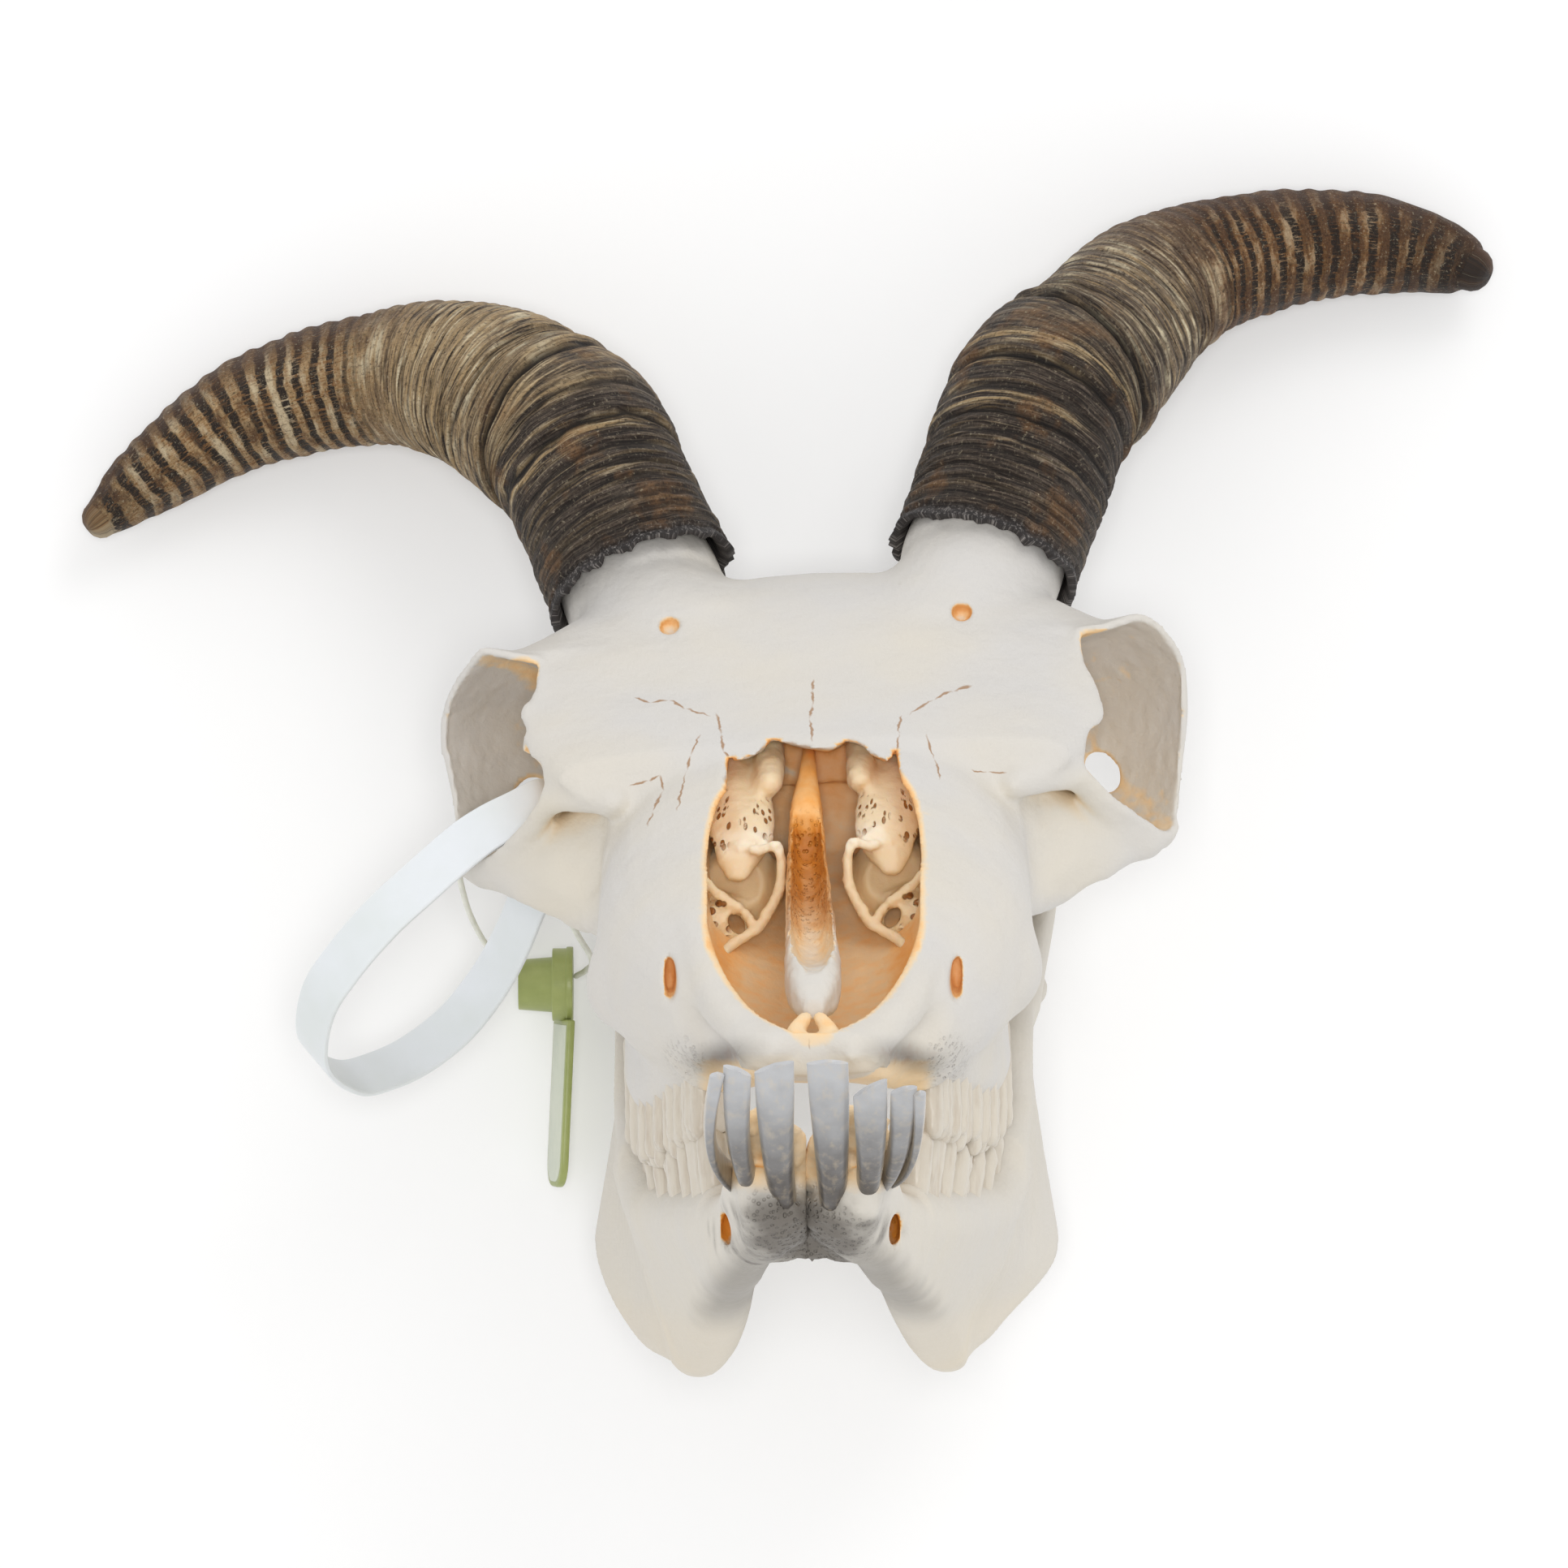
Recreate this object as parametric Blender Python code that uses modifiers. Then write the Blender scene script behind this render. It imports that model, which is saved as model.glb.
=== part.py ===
"""Skull of a young bighorn sheep, lying on its back with the nose straight up.

The frame: +Z runs up the face to the nose, +Y is the crown side, and +X is the
animal's left. The back of the head and both horns rest on the plane Z = 0.
Sizes below are in millimetres, and every shape is scaled by MM to metres.

Each bone is blocked out from three kinds of closed form: a hull through
elliptical stations, a plank through upright stations, and a limb along a path.
A voxel remesh joins the forms of a bone, and thin plane cuts then part the
cranium where its real sutures run.
"""

import math

import bmesh
import bpy
import numpy as np
from mathutils import Matrix, Vector

MM = 0.001

# --- Driving sizes -----------------------------------------------------------
NOSE_Z = 216.0              # broken front end of the upper jaw
HORN_DEPTH_RATIO = 1.18     # a horn's section is deeper front to back than across
SOCKET_WALL = 3.4           # thickness of the bone behind an eye socket
SOCKET_FRONT = 150.0        # height to which a socket's opening is cleared
SUTURE_GAP = 0.3            # width of every parting cut
CONTACT_GAP = 0.35          # clearance where one bone sits against another
SKEW = 0.045                # the crown of this animal leans a little to one side
SKEW_FULL_Z, SKEW_NONE_Z = 130.0, 175.0
JAW_YAW = 0.020             # sideways drift of the lower jaw for each mm of Z
JAW_YAW_Z = 150.0
JAW_ANGLE_IN = 3.4          # the left angle of the jaw turns in by this much
JAW_ANGLE_UP = (1.1, 2.0)   # and each angle, right and left, sits higher by this
FRAME_SHIFT = Vector((4.58, -1.07, 0.0))   # from the midline to the middle of the box

RING_POINTS = 28
BONE_VOXEL = 1.5
INNER_VOXEL = 1.2
TOOTH_VOXEL = 0.8
CRANIUM_TRIANGLES = 2650
JAW_TRIANGLES = 520
INCISOR_TRIANGLES = 230
HORN_TRIANGLES = 760
CONCHA_TRIANGLES = 260
VOMER_TRIANGLES = 260

COLOURS = {
    "bone": ((0.86, 0.83, 0.76, 1.0), 0.55),
    "horn": ((0.27, 0.20, 0.13, 1.0), 0.65),
    "band": ((0.86, 0.88, 0.87, 1.0), 0.45),
    "tag": ((0.30, 0.36, 0.13, 1.0), 0.40),
}


# --- Small helpers -----------------------------------------------------------
def clear_scene():
    """Remove whatever the start-up file holds."""
    for obj in list(bpy.data.objects):
        bpy.data.objects.remove(obj, do_unlink=True)


def make_collection(name, hidden):
    collection = bpy.data.collections.new(name)
    collection.hide_render = hidden
    bpy.context.scene.collection.children.link(collection)
    return collection


def make_material(name):
    colour, roughness = COLOURS[name]
    material = bpy.data.materials.new(name)
    material.use_nodes = True
    shader = material.node_tree.nodes["Principled BSDF"]
    shader.inputs["Base Color"].default_value = colour
    shader.inputs["Roughness"].default_value = roughness
    shader.inputs["Metallic"].default_value = 0.0
    return material


def spline(points, steps):
    """Points of a Catmull-Rom curve through rows of numbers of any width."""
    rows = np.array(points, float)
    padded = np.vstack([2 * rows[0] - rows[1], rows, 2 * rows[-1] - rows[-2]])
    out = []
    for i in range(1, len(padded) - 2):
        a, b, c, d = padded[i - 1 : i + 3]
        for k in range(steps):
            t = k / steps
            out.append(
                0.5
                * (
                    2 * b
                    + (c - a) * t
                    + (2 * a - 5 * b + 4 * c - d) * t**2
                    + (3 * b - a - 3 * c + d) * t**3
                )
            )
    out.append(rows[-1])
    return np.array(out)


def closed_route(points, steps):
    """Points of a smooth closed curve through the given ones."""
    rows = np.array(points, float)
    ring = spline(np.vstack([rows[-2:], rows, rows[:2]]), steps)
    return ring[2 * steps : -steps - 1]


class Blockout:
    """Closed forms of one bone, gathered in one mesh before they are joined."""

    def __init__(self):
        self.mesh = bmesh.new()

    def skin(self, rings):
        """Close a stack of equal rings into a shell, facing out."""
        loops = [[self.mesh.verts.new(Vector(p) * MM) for p in ring] for ring in rings]
        faces = [self.mesh.faces.new(loops[0]), self.mesh.faces.new(loops[-1])]
        for low, high in zip(loops, loops[1:]):
            count = len(low)
            for i in range(count):
                j = (i + 1) % count
                faces.append(self.mesh.faces.new((low[i], low[j], high[j], high[i])))
        bmesh.ops.recalc_face_normals(self.mesh, faces=faces)

    def twice(self, build, both):
        """Run build for the left side, and mirrored for the right."""
        for side in (1, -1) if both else (1,):
            self.skin([[(side * p[0], p[1], p[2]) for p in ring] for ring in build()])

    def hull(self, stations, power=2.4, both=False, steps=4):
        """Stations (z, x, y, half width, half height) of rounded sections."""

        def rings():
            out = []
            for z, x, y, wide, high in spline(stations, steps):
                ring = []
                for k in range(RING_POINTS):
                    turn = 2 * math.pi * k / RING_POINTS
                    c, s = math.cos(turn), math.sin(turn)
                    ring.append(
                        (
                            x + max(wide, 0.5) * math.copysign(abs(c) ** (2 / power), c),
                            y + max(high, 0.5) * math.copysign(abs(s) ** (2 / power), s),
                            z,
                        )
                    )
                out.append(ring)
            return out

        self.twice(rings, both)

    def plank(self, stations, both=True, steps=4):
        """Stations (z, top x, top y, foot x, foot y, half thickness) of a leaning plate."""

        def rings():
            out = []
            for z, tx, ty, fx, fy, thick in spline(stations, steps):
                top, foot = Vector((tx, ty)), Vector((fx, fy))
                along = (top - foot).normalized()
                start = math.atan2(along.y, along.x)
                half = RING_POINTS // 2
                ring = []
                for end, centre in ((0, top), (1, foot)):
                    for k in range(half):
                        turn = start - math.pi / 2 + math.pi * (k / (half - 1) + end)
                        ring.append(
                            (
                                centre.x + thick * math.cos(turn),
                                centre.y + thick * math.sin(turn),
                                z,
                            )
                        )
                out.append(ring)
            return out

        self.twice(rings, both)

    def limb(self, points, wide=None, ratio=1.0, both=True, steps=4, round_foot=True):
        """Points (x, y, z, radius) of a tapered rod, flattened by ratio across wide."""

        def rings():
            path = spline(points, steps)
            tangents = np.gradient(path[:, :3], axis=0)
            across = Vector(wide) if wide else Vector((0.31, 0.17, 0.93))
            out = []
            last = len(path) - 1
            for i, ((x, y, z, radius), tangent) in enumerate(zip(path, tangents)):
                forward = Vector(tangent).normalized()
                u = (across - across.dot(forward) * forward).normalized()
                v = forward.cross(u)
                caps = [(0.0, 1.0)]
                if i == 0 and round_foot:
                    caps = [(-0.95, 0.3), (-0.7, 0.72), (0.0, 1.0)]
                if i == last:
                    caps = [(0.0, 1.0), (0.7, 0.72), (0.95, 0.3)]
                for ahead, size in caps:
                    centre = Vector((x, y, z)) + forward * (ahead * radius / ratio)
                    out.append(
                        [
                            centre
                            + u * (radius * size * math.cos(turn))
                            + v * (radius / ratio * size * math.sin(turn))
                            for turn in (
                                2 * math.pi * k / RING_POINTS for k in range(RING_POINTS)
                            )
                        ]
                    )
            return out

        self.twice(rings, both)

    def ball(self, centre, radii, axis=(1, 0, 0), both=True):
        """An ellipsoid whose first radius lies along axis, level with the frame's Y."""
        for side in (1, -1) if both else (1,):
            x, y, z = centre
            tilt = Vector((side * axis[0], axis[1], axis[2])).to_track_quat("X", "Z")
            place = Matrix.Translation(Vector((side * x, y, z)) * MM) @ tilt.to_matrix().to_4x4()
            size = Matrix.Diagonal((*(r * MM for r in radii), 1.0))
            bmesh.ops.create_uvsphere(
                self.mesh, u_segments=24, v_segments=14, radius=1.0, matrix=place @ size
            )

    def bowl(self, rim, side, swell=0.0, front=None):
        """A bowl that hangs from a closed rim, grown by swell and drawn out to Z = front."""
        edge = closed_route(rim, 2)
        middle = edge.mean(axis=0)
        out = edge - middle
        flat = out * (1, 1, 0)
        out = out + swell * flat / np.linalg.norm(flat, axis=1, keepdims=True)
        sink = np.array(SOCKET_DIVE) * (1 + swell / abs(SOCKET_DIVE[2]))
        rings = []
        if front:
            rings.append((middle + out) * (1, 1, 0) + (0, 0, front))
        for slope in np.linspace(0, math.pi / 2, 8)[:-1]:
            rings.append(middle + out * math.cos(slope) + sink * math.sin(slope))
        self.skin([[(side * x, y, z) for x, y, z in ring] for ring in rings])

    def object(self, name, collection):
        data = bpy.data.meshes.new(name)
        self.mesh.to_mesh(data)
        self.mesh.free()
        obj = bpy.data.objects.new(name, data)
        collection.objects.link(obj)
        return obj


def add_remesh(obj, voxel, smoothing):
    """Join a block-out's forms into one skin and soften where they meet."""
    remesh = obj.modifiers.new("join", "REMESH")
    remesh.mode = "VOXEL"
    remesh.voxel_size = voxel * MM
    smooth = obj.modifiers.new("soften", "SMOOTH")
    smooth.factor = 0.5
    smooth.iterations = smoothing


def add_boolean(obj, other, operation, folded=False):
    """Join or cut by other; folded allows for thin walls that touch themselves."""
    cut = obj.modifiers.new(operation.lower(), "BOOLEAN")
    cut.operation = operation
    cut.solver = "EXACT"
    cut.use_self = folded
    cut.object = other


def add_decimate(obj, faces):
    """Reduce the evaluated mesh to about this many triangles."""
    graph = bpy.context.evaluated_depsgraph_get()
    now = len(obj.evaluated_get(graph).data.polygons) * 2
    thin = obj.modifiers.new("thin", "DECIMATE")
    thin.ratio = min(1.0, faces / now)
    thin.use_collapse_triangulate = True


def applied(obj):
    """Bake the modifiers of obj into its own mesh."""
    bpy.context.view_layer.update()
    graph = bpy.context.evaluated_depsgraph_get()
    baked = bpy.data.meshes.new_from_object(obj.evaluated_get(graph))
    obj.modifiers.clear()
    obj.data = baked
    return obj


def keep_largest(obj):
    """Drop loose chips that a cut leaves beside the main body."""
    mesh = bmesh.new()
    mesh.from_mesh(obj.data)
    left, bodies = set(mesh.verts), []
    while left:
        body, edge = set(), [left.pop()]
        while edge:
            vert = edge.pop()
            body.add(vert)
            for e in vert.link_edges:
                other = e.other_vert(vert)
                if other in left:
                    left.discard(other)
                    edge.append(other)
        bodies.append(body)
    bodies.sort(key=len)
    bmesh.ops.delete(mesh, geom=[v for b in bodies[:-1] for v in b], context="VERTS")
    mesh.to_mesh(obj.data)
    mesh.free()


def move_points(obj, rule):
    """Shift every vertex by a rule on its place in millimetres."""
    for vertex in obj.data.vertices:
        vertex.co += Vector(rule(vertex.co / MM)) * MM


def lean_crown(place):
    """The crown's slight skew, gone by the front of the cheeks."""
    share = (SKEW_NONE_Z - place.z) / (SKEW_NONE_Z - SKEW_FULL_Z)
    return (0.0, SKEW * place.x * min(1.0, max(0.0, share)), 0.0)


def turn_jaw(place):
    """The lower jaw sits a touch askew under the cranium."""
    deep = min(1.0, max(0.0, (-place.y - 84.0) / 16.0))
    inward = min(1.0, max(0.0, (place.x - 24.0) / 8.0))
    up = JAW_ANGLE_UP[1] if place.x > 0 else JAW_ANGLE_UP[0]
    return (-JAW_YAW * (place.z - JAW_YAW_Z) - JAW_ANGLE_IN * deep * inward, deep * up, 0.0)


def half_space(name, point, normal, collection):
    """A big box whose one face passes through point, on the side normal points to."""
    size = 600 * MM
    mesh = bmesh.new()
    bmesh.ops.create_cube(mesh, size=size)
    data = bpy.data.meshes.new(name)
    mesh.to_mesh(data)
    mesh.free()
    obj = bpy.data.objects.new(name, data)
    direction = Vector(normal).normalized()
    obj.rotation_mode = "QUATERNION"
    obj.rotation_quaternion = direction.to_track_quat("Z", "Y")
    obj.location = Vector(point) * MM + direction * (size / 2)
    obj.hide_render = True
    obj.display_type = "WIRE"
    collection.objects.link(obj)
    return obj


def grown(obj, gap, collection):
    """A copy of obj swollen by gap, to cut clearance in its neighbours."""
    copy = obj.copy()
    copy.data = obj.data.copy()
    copy.name = obj.name + "_grown"
    collection.objects.link(copy)
    swell = copy.modifiers.new("swell", "DISPLACE")
    swell.strength = gap * MM
    swell.mid_level = 0.0
    copy.hide_render = True
    copy.display_type = "WIRE"
    return copy


def object_from(mesh, name, collection):
    """An object that holds this bmesh."""
    data = bpy.data.meshes.new(name)
    mesh.to_mesh(data)
    mesh.free()
    obj = bpy.data.objects.new(name, data)
    collection.objects.link(obj)
    return obj


def cutter_from(form, name, collection):
    """A block-out as a hidden cutter."""
    obj = form.object(name, collection)
    obj.hide_render = True
    obj.display_type = "WIRE"
    return obj


def cut_with(obj, cutter, folded=False):
    """Take cutter away from obj at once, and keep the main body."""
    add_boolean(obj, cutter, "DIFFERENCE", folded)
    applied(obj)
    keep_largest(obj)


def tidy_mesh(obj):
    """Merge the near-double points that cuts leave."""
    mesh = bmesh.new()
    mesh.from_mesh(obj.data)
    bmesh.ops.dissolve_degenerate(mesh, dist=0.01 * MM, edges=mesh.edges)
    bmesh.ops.triangulate(mesh, faces=mesh.faces)
    mesh.to_mesh(obj.data)
    mesh.free()


# --- The cranium -------------------------------------------------------------
BRAINCASE = (  # z, x, y, half width, half height
    (1.5, 0, -14, 17, 12),
    (6, 0, -15, 27, 22),
    (14, 0, -14, 33, 27),
    (28, 0, -12, 36.5, 32),
    (44, 0, -6, 37, 36.5),
    (57, 0, -3, 35, 40),
    (70, 0, -5, 30, 37.5),
    (85, 0, -10, 26, 34),
    (100, 0, -16, 27, 32),
    (118, 0, -22, 32, 28),
)
FACE = (
    (96, 0, -20, 32, 30), (106, 0, -20, 35.6, 31), (116, 0, -20.5, 37.0, 30),
    (126, 0, -23.5, 37.6, 28.5), (138, 0, -27.5, 37.6, 25.5), (150, 0, -31, 35.8, 22.5),
    (164, 0, -34.5, 31.5, 19), (178, 0, -38, 25.5, 14.5), (190, 0, -40.5, 19.5, 10.5),
    (202, 0, -43, 14.5, 6.8), (NOSE_Z - 2, 0, -44.8, 11.5, 3.6),
)
FRONTAL_SHIELD = (
    (52, 0, 25, 28, 12), (62, 0, 24.5, 42, 12.5), (74, 0, 22.8, 50, 10.8),
    (86, 0, 17.8, 52, 9.4), (98, 0, 11, 50.5, 8.5), (110, 0, 5.6, 48.4, 7.4),
    (120, 0, 2.6, 44.5, 4.6),
)
NASAL_CAVITY = (
    (97, 0, -9, 13, 11),
    (108, 0, -11, 17, 16),
    (122, 0, -14.5, 19.5, 20.5),
    (140, 0, -21, 20.5, 24),
    (160, 0, -27, 20, 20),
    (180, 0, -33, 17, 13.5),
    (195, 0, -36, 12.8, 9),
    (206, 0, -38.2, 7, 4.5),
    (213, 0, -38.5, 3, 3),
)
NOSE_TOP = (  # x, y of the broken edge over the nose
    (-15.4, 0.0), (-15.2, 6.1), (-14.0, 4.7), (-11.2, 5.2), (-9.1, 6.2), (-7.9, 7.8), (-6.6, 7.9),
    (-4.8, 7.3), (-2.7, 6.6), (-0.2, 6.1), (2.2, 5.6), (4.4, 6.3), (5.4, 7.3), (7.2, 7.0),
    (9.0, 5.8), (10.0, 4.4), (12.9, 3.4), (14.0, 5.4), (14.6, 3.0), (15.0, 0.0),
)
SOCKET_RIGHT = (  # x, y, z round the rim of the eye socket on the animal's right, turned to +X
    (49.6, 23.4, 88), (49.4, 21.0, 90.5), (49.5, 18.9, 93), (50.3, 17.0, 95), (51.5, 16.1, 96),
    (51.9, 13.9, 98), (50.7, 11.7, 100), (52.3, 9.6, 102.5), (52.4, 8.2, 104), (50.9, 7.1, 105),
    (48.8, 6.5, 106), (47.7, 4.7, 108), (47.8, 1.6, 110), (48.7, -1.5, 109), (52.9, -6.2, 100.5),
    (58.1, -10.3, 93), (61.9, -7.1, 86), (63.2, -3.6, 83.5), (63.7, 1.1, 81), (64.6, 6.5, 79.5),
    (65.4, 10.3, 79), (65.2, 15.1, 79.5), (63.9, 18.9, 81.5), (61.6, 22.5, 84.5),
    (59.1, 25.3, 87), (57.0, 25.1, 87.5), (53.9, 24.3, 88.5),
)
SOCKET_LEFT = (
    (47.4, 24.2, 88), (47.1, 21.7, 90), (47.6, 19.1, 92), (48.7, 17.0, 94), (49.7, 14.4, 96),
    (50.4, 11.7, 98), (50.8, 9.9, 99.5), (50.2, 8.5, 101), (48.3, 7.5, 102.5), (47.5, 5.8, 104),
    (47.2, 3.0, 106), (47.7, 0.1, 108), (51.3, -3.4, 108), (54.4, -5.9, 104), (56.8, -7.6, 100),
    (61.6, -11.1, 91), (63.2, -9.5, 87), (63.9, -5.6, 83), (64.2, -0.6, 81), (64.6, 4.5, 79.5),
    (65.0, 9.5, 79), (65.0, 15.0, 79), (64.3, 19.1, 80), (62.2, 22.6, 82.5), (59.6, 25.3, 84.5),
    (56.6, 26.2, 86.5), (51.9, 24.8, 88),
)
SOCKET_DIVE = (-15.0, -1.0, -25.0)
BROW_EDGE = (  # the thin roof of the eye socket
    (42.5, 23.2, 84, 7.6), (43.0, 20.0, 90.5, 8.2), (43.5, 14.8, 98.4, 8.6),
    (42.5, 9.4, 106.5, 7.6), (41.0, 4.5, 112.5, 5.0),
)
CHEEK_PLATE = ((32, -12, 113, 11.5), (41, -12.0, 106.5, 10.0), (50, -12, 99.5, 6.5), (58, -11.5, 91, 3.8))
CHEEK_BORDER = (
    (34, -20.5, 112, 5.0), (39, -21.0, 107, 3.6), (45, -18.6, 102.5, 2.8), (51, -15.9, 98.5, 2.5),
    (57, -13.0, 92.5, 2.4), (61.6, -11.4, 87, 2.6),
)
CHEEK_CREST = (
    (35, -1.6, 119.5, 2.6), (40, -0.6, 117.0, 2.6), (44.5, -0.4, 114.0, 2.5), (47.6, -2.0, 110, 2.6),
    (52.0, -7.6, 101.0, 2.9), (58.2, -12.2, 92.0, 2.8),
)
HORN_CORE_RIGHT = ((20, 20, 70, 15.5), (28.2, 29.5, 55.6, 16.6), (31.2, 36.2, 50.6, 17.0), (34.8, 44.3, 47.4, 16.0))
HORN_CORE_LEFT = ((20, 20, 70, 15.5), (28.2, 33.0, 56.8, 17.0), (30.6, 39.5, 52.4, 17.6), (33.4, 47.5, 49.0, 16.4))
ZYGOMATIC_ARCH = (
    (59.5, -8.5, 90, 4.2), (58.5, -10.2, 76, 4.4), (53.0, -12.5, 61, 4.4),
    (44.5, -18, 47, 5.0), (33.0, -18, 38, 6.0),
)


# --- Cheek teeth, shared by both jaws ------------------------------------------
UPPER_TEETH = (  # z, x, half length, half width, crown end y
    (103.0, 27.0, 7.0, 5.0, -62.0), (118.0, 25.7, 6.8, 5.2, -63.2),
    (132.0, 23.9, 6.2, 5.0, -62.8), (144.5, 21.8, 5.2, 4.4, -61.3),
    (155.0, 19.9, 4.4, 3.9, -60.2), (164.0, 18.0, 3.8, 3.4, -59.0),
)
BITE_GAP = 0.6              # between upper and lower crowns
LOWER_TEETH_INSET = 2.2     # the lower rows stand closer together


def build_cranium(tools):
    """The whole upper skull with its cheek teeth, before it is parted."""
    bone = Blockout()
    bone.hull(BRAINCASE)
    bone.hull(FACE)
    bone.hull(FRONTAL_SHIELD, power=3.0)
    core = [(-x, y, z, radius) for x, y, z, radius in HORN_CORE_RIGHT]
    bone.limb(core, (0, 0, 1), HORN_DEPTH_RATIO, both=False)
    bone.limb(HORN_CORE_LEFT, (0, 0, 1), HORN_DEPTH_RATIO, both=False)
    bone.bowl(SOCKET_LEFT, 1, SOCKET_WALL)
    bone.bowl(SOCKET_RIGHT, -1, SOCKET_WALL)
    bone.limb([(60, 20, 78, 8), (50, 24.5, 76, 10), (36, 23, 74, 11)], (0, 0, 1), 4.0)
    bone.limb(ZYGOMATIC_ARCH, (0, 1, 0), 2.0)
    bone.limb(CHEEK_PLATE, (0, 1, 0), 1.9)
    bone.limb(CHEEK_BORDER)
    bone.limb(CHEEK_CREST)
    bone.limb(BROW_EDGE, (1, 0, -0.18), 4.4)
    bone.ball((34, -33, 138), (5.5, 7, 10))
    bone.limb([(1.5, -44.6, 212, 2.6), (10.2, -44.6, 213, 3.0)])
    bone.ball((12.5, -36, 8.5), (8, 10, 9.0))
    bone.limb([(27, -32, 14, 6), (26, -48, 11, 4.5), (25, -60, 11, 2.5)])
    bone.ball((21, -43, 38), (8, 9, 11))
    bone.limb([(-24, 2, 8, 3.5), (0, 9, 5, 4.5), (24, 2, 8, 3.5)], both=False)
    gum = [(z, x, -42, x, crown + 12.6, width + 1.9) for z, x, _, width, crown in UPPER_TEETH]
    bone.plank([(gum[0][0] - 8, *gum[0][1:]), *gum, (gum[-1][0] + 6, *gum[-1][1:])])
    for z, x, length, width, crown in UPPER_TEETH:
        row = (x, -46, x, crown + width, width)
        bone.plank([(z - length, *row), (z + length, *row)], steps=1)
    cranium = bone.object("cranium", tools)
    add_remesh(cranium, BONE_VOXEL, 4)

    cavity = Blockout()
    cavity.hull(NASAL_CAVITY)
    eyes = Blockout()
    eyes.bowl(SOCKET_LEFT, 1, front=SOCKET_FRONT)
    eyes.bowl(SOCKET_RIGHT, -1, front=SOCKET_FRONT)
    holes = Blockout()
    holes.limb([(26, 30.5, 98, 1.8), (26, 29.3, 81, 1.8)])
    holes.limb([(23.8, -33.4, 188, 3.7), (24.0, -33.0, 180, 3.7), (24.3, -32.0, 172.5, 2.8)], (0, 1, 0), 3.2)
    holes.limb([(51.4, -0.2, 100, 3.9), (51.4, -0.2, 40, 3.9)], (0.5, -0.85, 0), 1.45)
    holes.limb([(0, -24, -6, 8.5), (0, -22, 26, 8.5)], both=False)
    palate = Blockout()
    vault = [(0, -57, 92, 19), (0, -56, 140, 17), (0, -54, 196, 10)]
    palate.limb(vault, (1, 0, 0), 2.6, both=False)
    fossa = Blockout()
    fossa.ball((46, 0, 55), (11, 22, 12))
    mouth = Blockout()
    mouth.skin([[(x, y, z) for x, y in NOSE_TOP] for z in (104, 152)])
    openings = (("nasal_cavity", cavity), ("nose_top", mouth), ("eyes", eyes), ("foramina", holes))
    openings += (("palate_vault", palate), ("temporal_fossa", fossa))
    for name, form in openings:
        add_boolean(cranium, cutter_from(form, name, tools), "DIFFERENCE")
    add_remesh(cranium, BONE_VOXEL, 1)
    applied(cranium)
    keep_largest(cranium)
    move_points(cranium, lean_crown)
    add_decimate(cranium, CRANIUM_TRIANGLES)
    return applied(cranium)


# --- The lower jaw -----------------------------------------------------------
JAW_BODY = (  # z, upper x, upper y, lower x, lower y, half thickness
    (224, 8.5, -66.5, 8.5, -68.5, 3.2), (214, 9.0, -66.5, 7.0, -73.0, 4.6),
    (204, 10.0, -68.5, 8.0, -74.6, 5.0), (190, 11.0, -71.5, 10.6, -76.6, 5.0),
    (175, 14.0, -74.0, 13.0, -80.5, 5.0), (150, 20.0, -75.5, 15.6, -84.5, 5.3),
    (120, 25.0, -75.5, 17.8, -92.0, 5.6), (100, 29.0, -74.5, 19.8, -97.5, 5.6),
    (88, 32.0, -68.0, 21.8, -101.0, 5.2),
)
JAW_RAMUS = (
    (92, 31.5, -66.0, 22.2, -100.5, 4.2), (80, 33.5, -58.0, 24.0, -101.0, 3.8),
    (72, 34.0, -45.0, 26.8, -100.6, 3.4), (60, 34.5, -36.0, 31.0, -99.0, 3.2),
    (50, 33.5, -38.0, 36.0, -92.5, 3.0), (43, 33.0, -42.0, 39.2, -84.0, 2.8),
    (39, 33.0, -50.0, 39.2, -77.0, 2.0),
)
INCISORS = (  # foot x, foot y, tip x, tip y, half width at the tip
    (-11.6, -65.8, -14.6, -47.4, 1.2),
    (-7.6, -69.4, -11.3, -46.6, 2.3),
    (-3.5, -72.6, -5.3, -46.0, 3.25),
    (3.8, -73.2, 3.35, -45.4, 3.4),
    (8.6, -70.0, 10.3, -49.4, 2.8),
    (10.6, -66.0, 15.8, -49.7, 2.15),
    (12.9, -64.4, 18.4, -50.4, 1.0),
)
INCISOR_FOOT_Z, INCISOR_TIP_Z = 219.0, 245.0
JAW_MIDLINE = -1.0
CHIN_HOLE_X = {1: 15.6, -1: 16.2}


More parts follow.
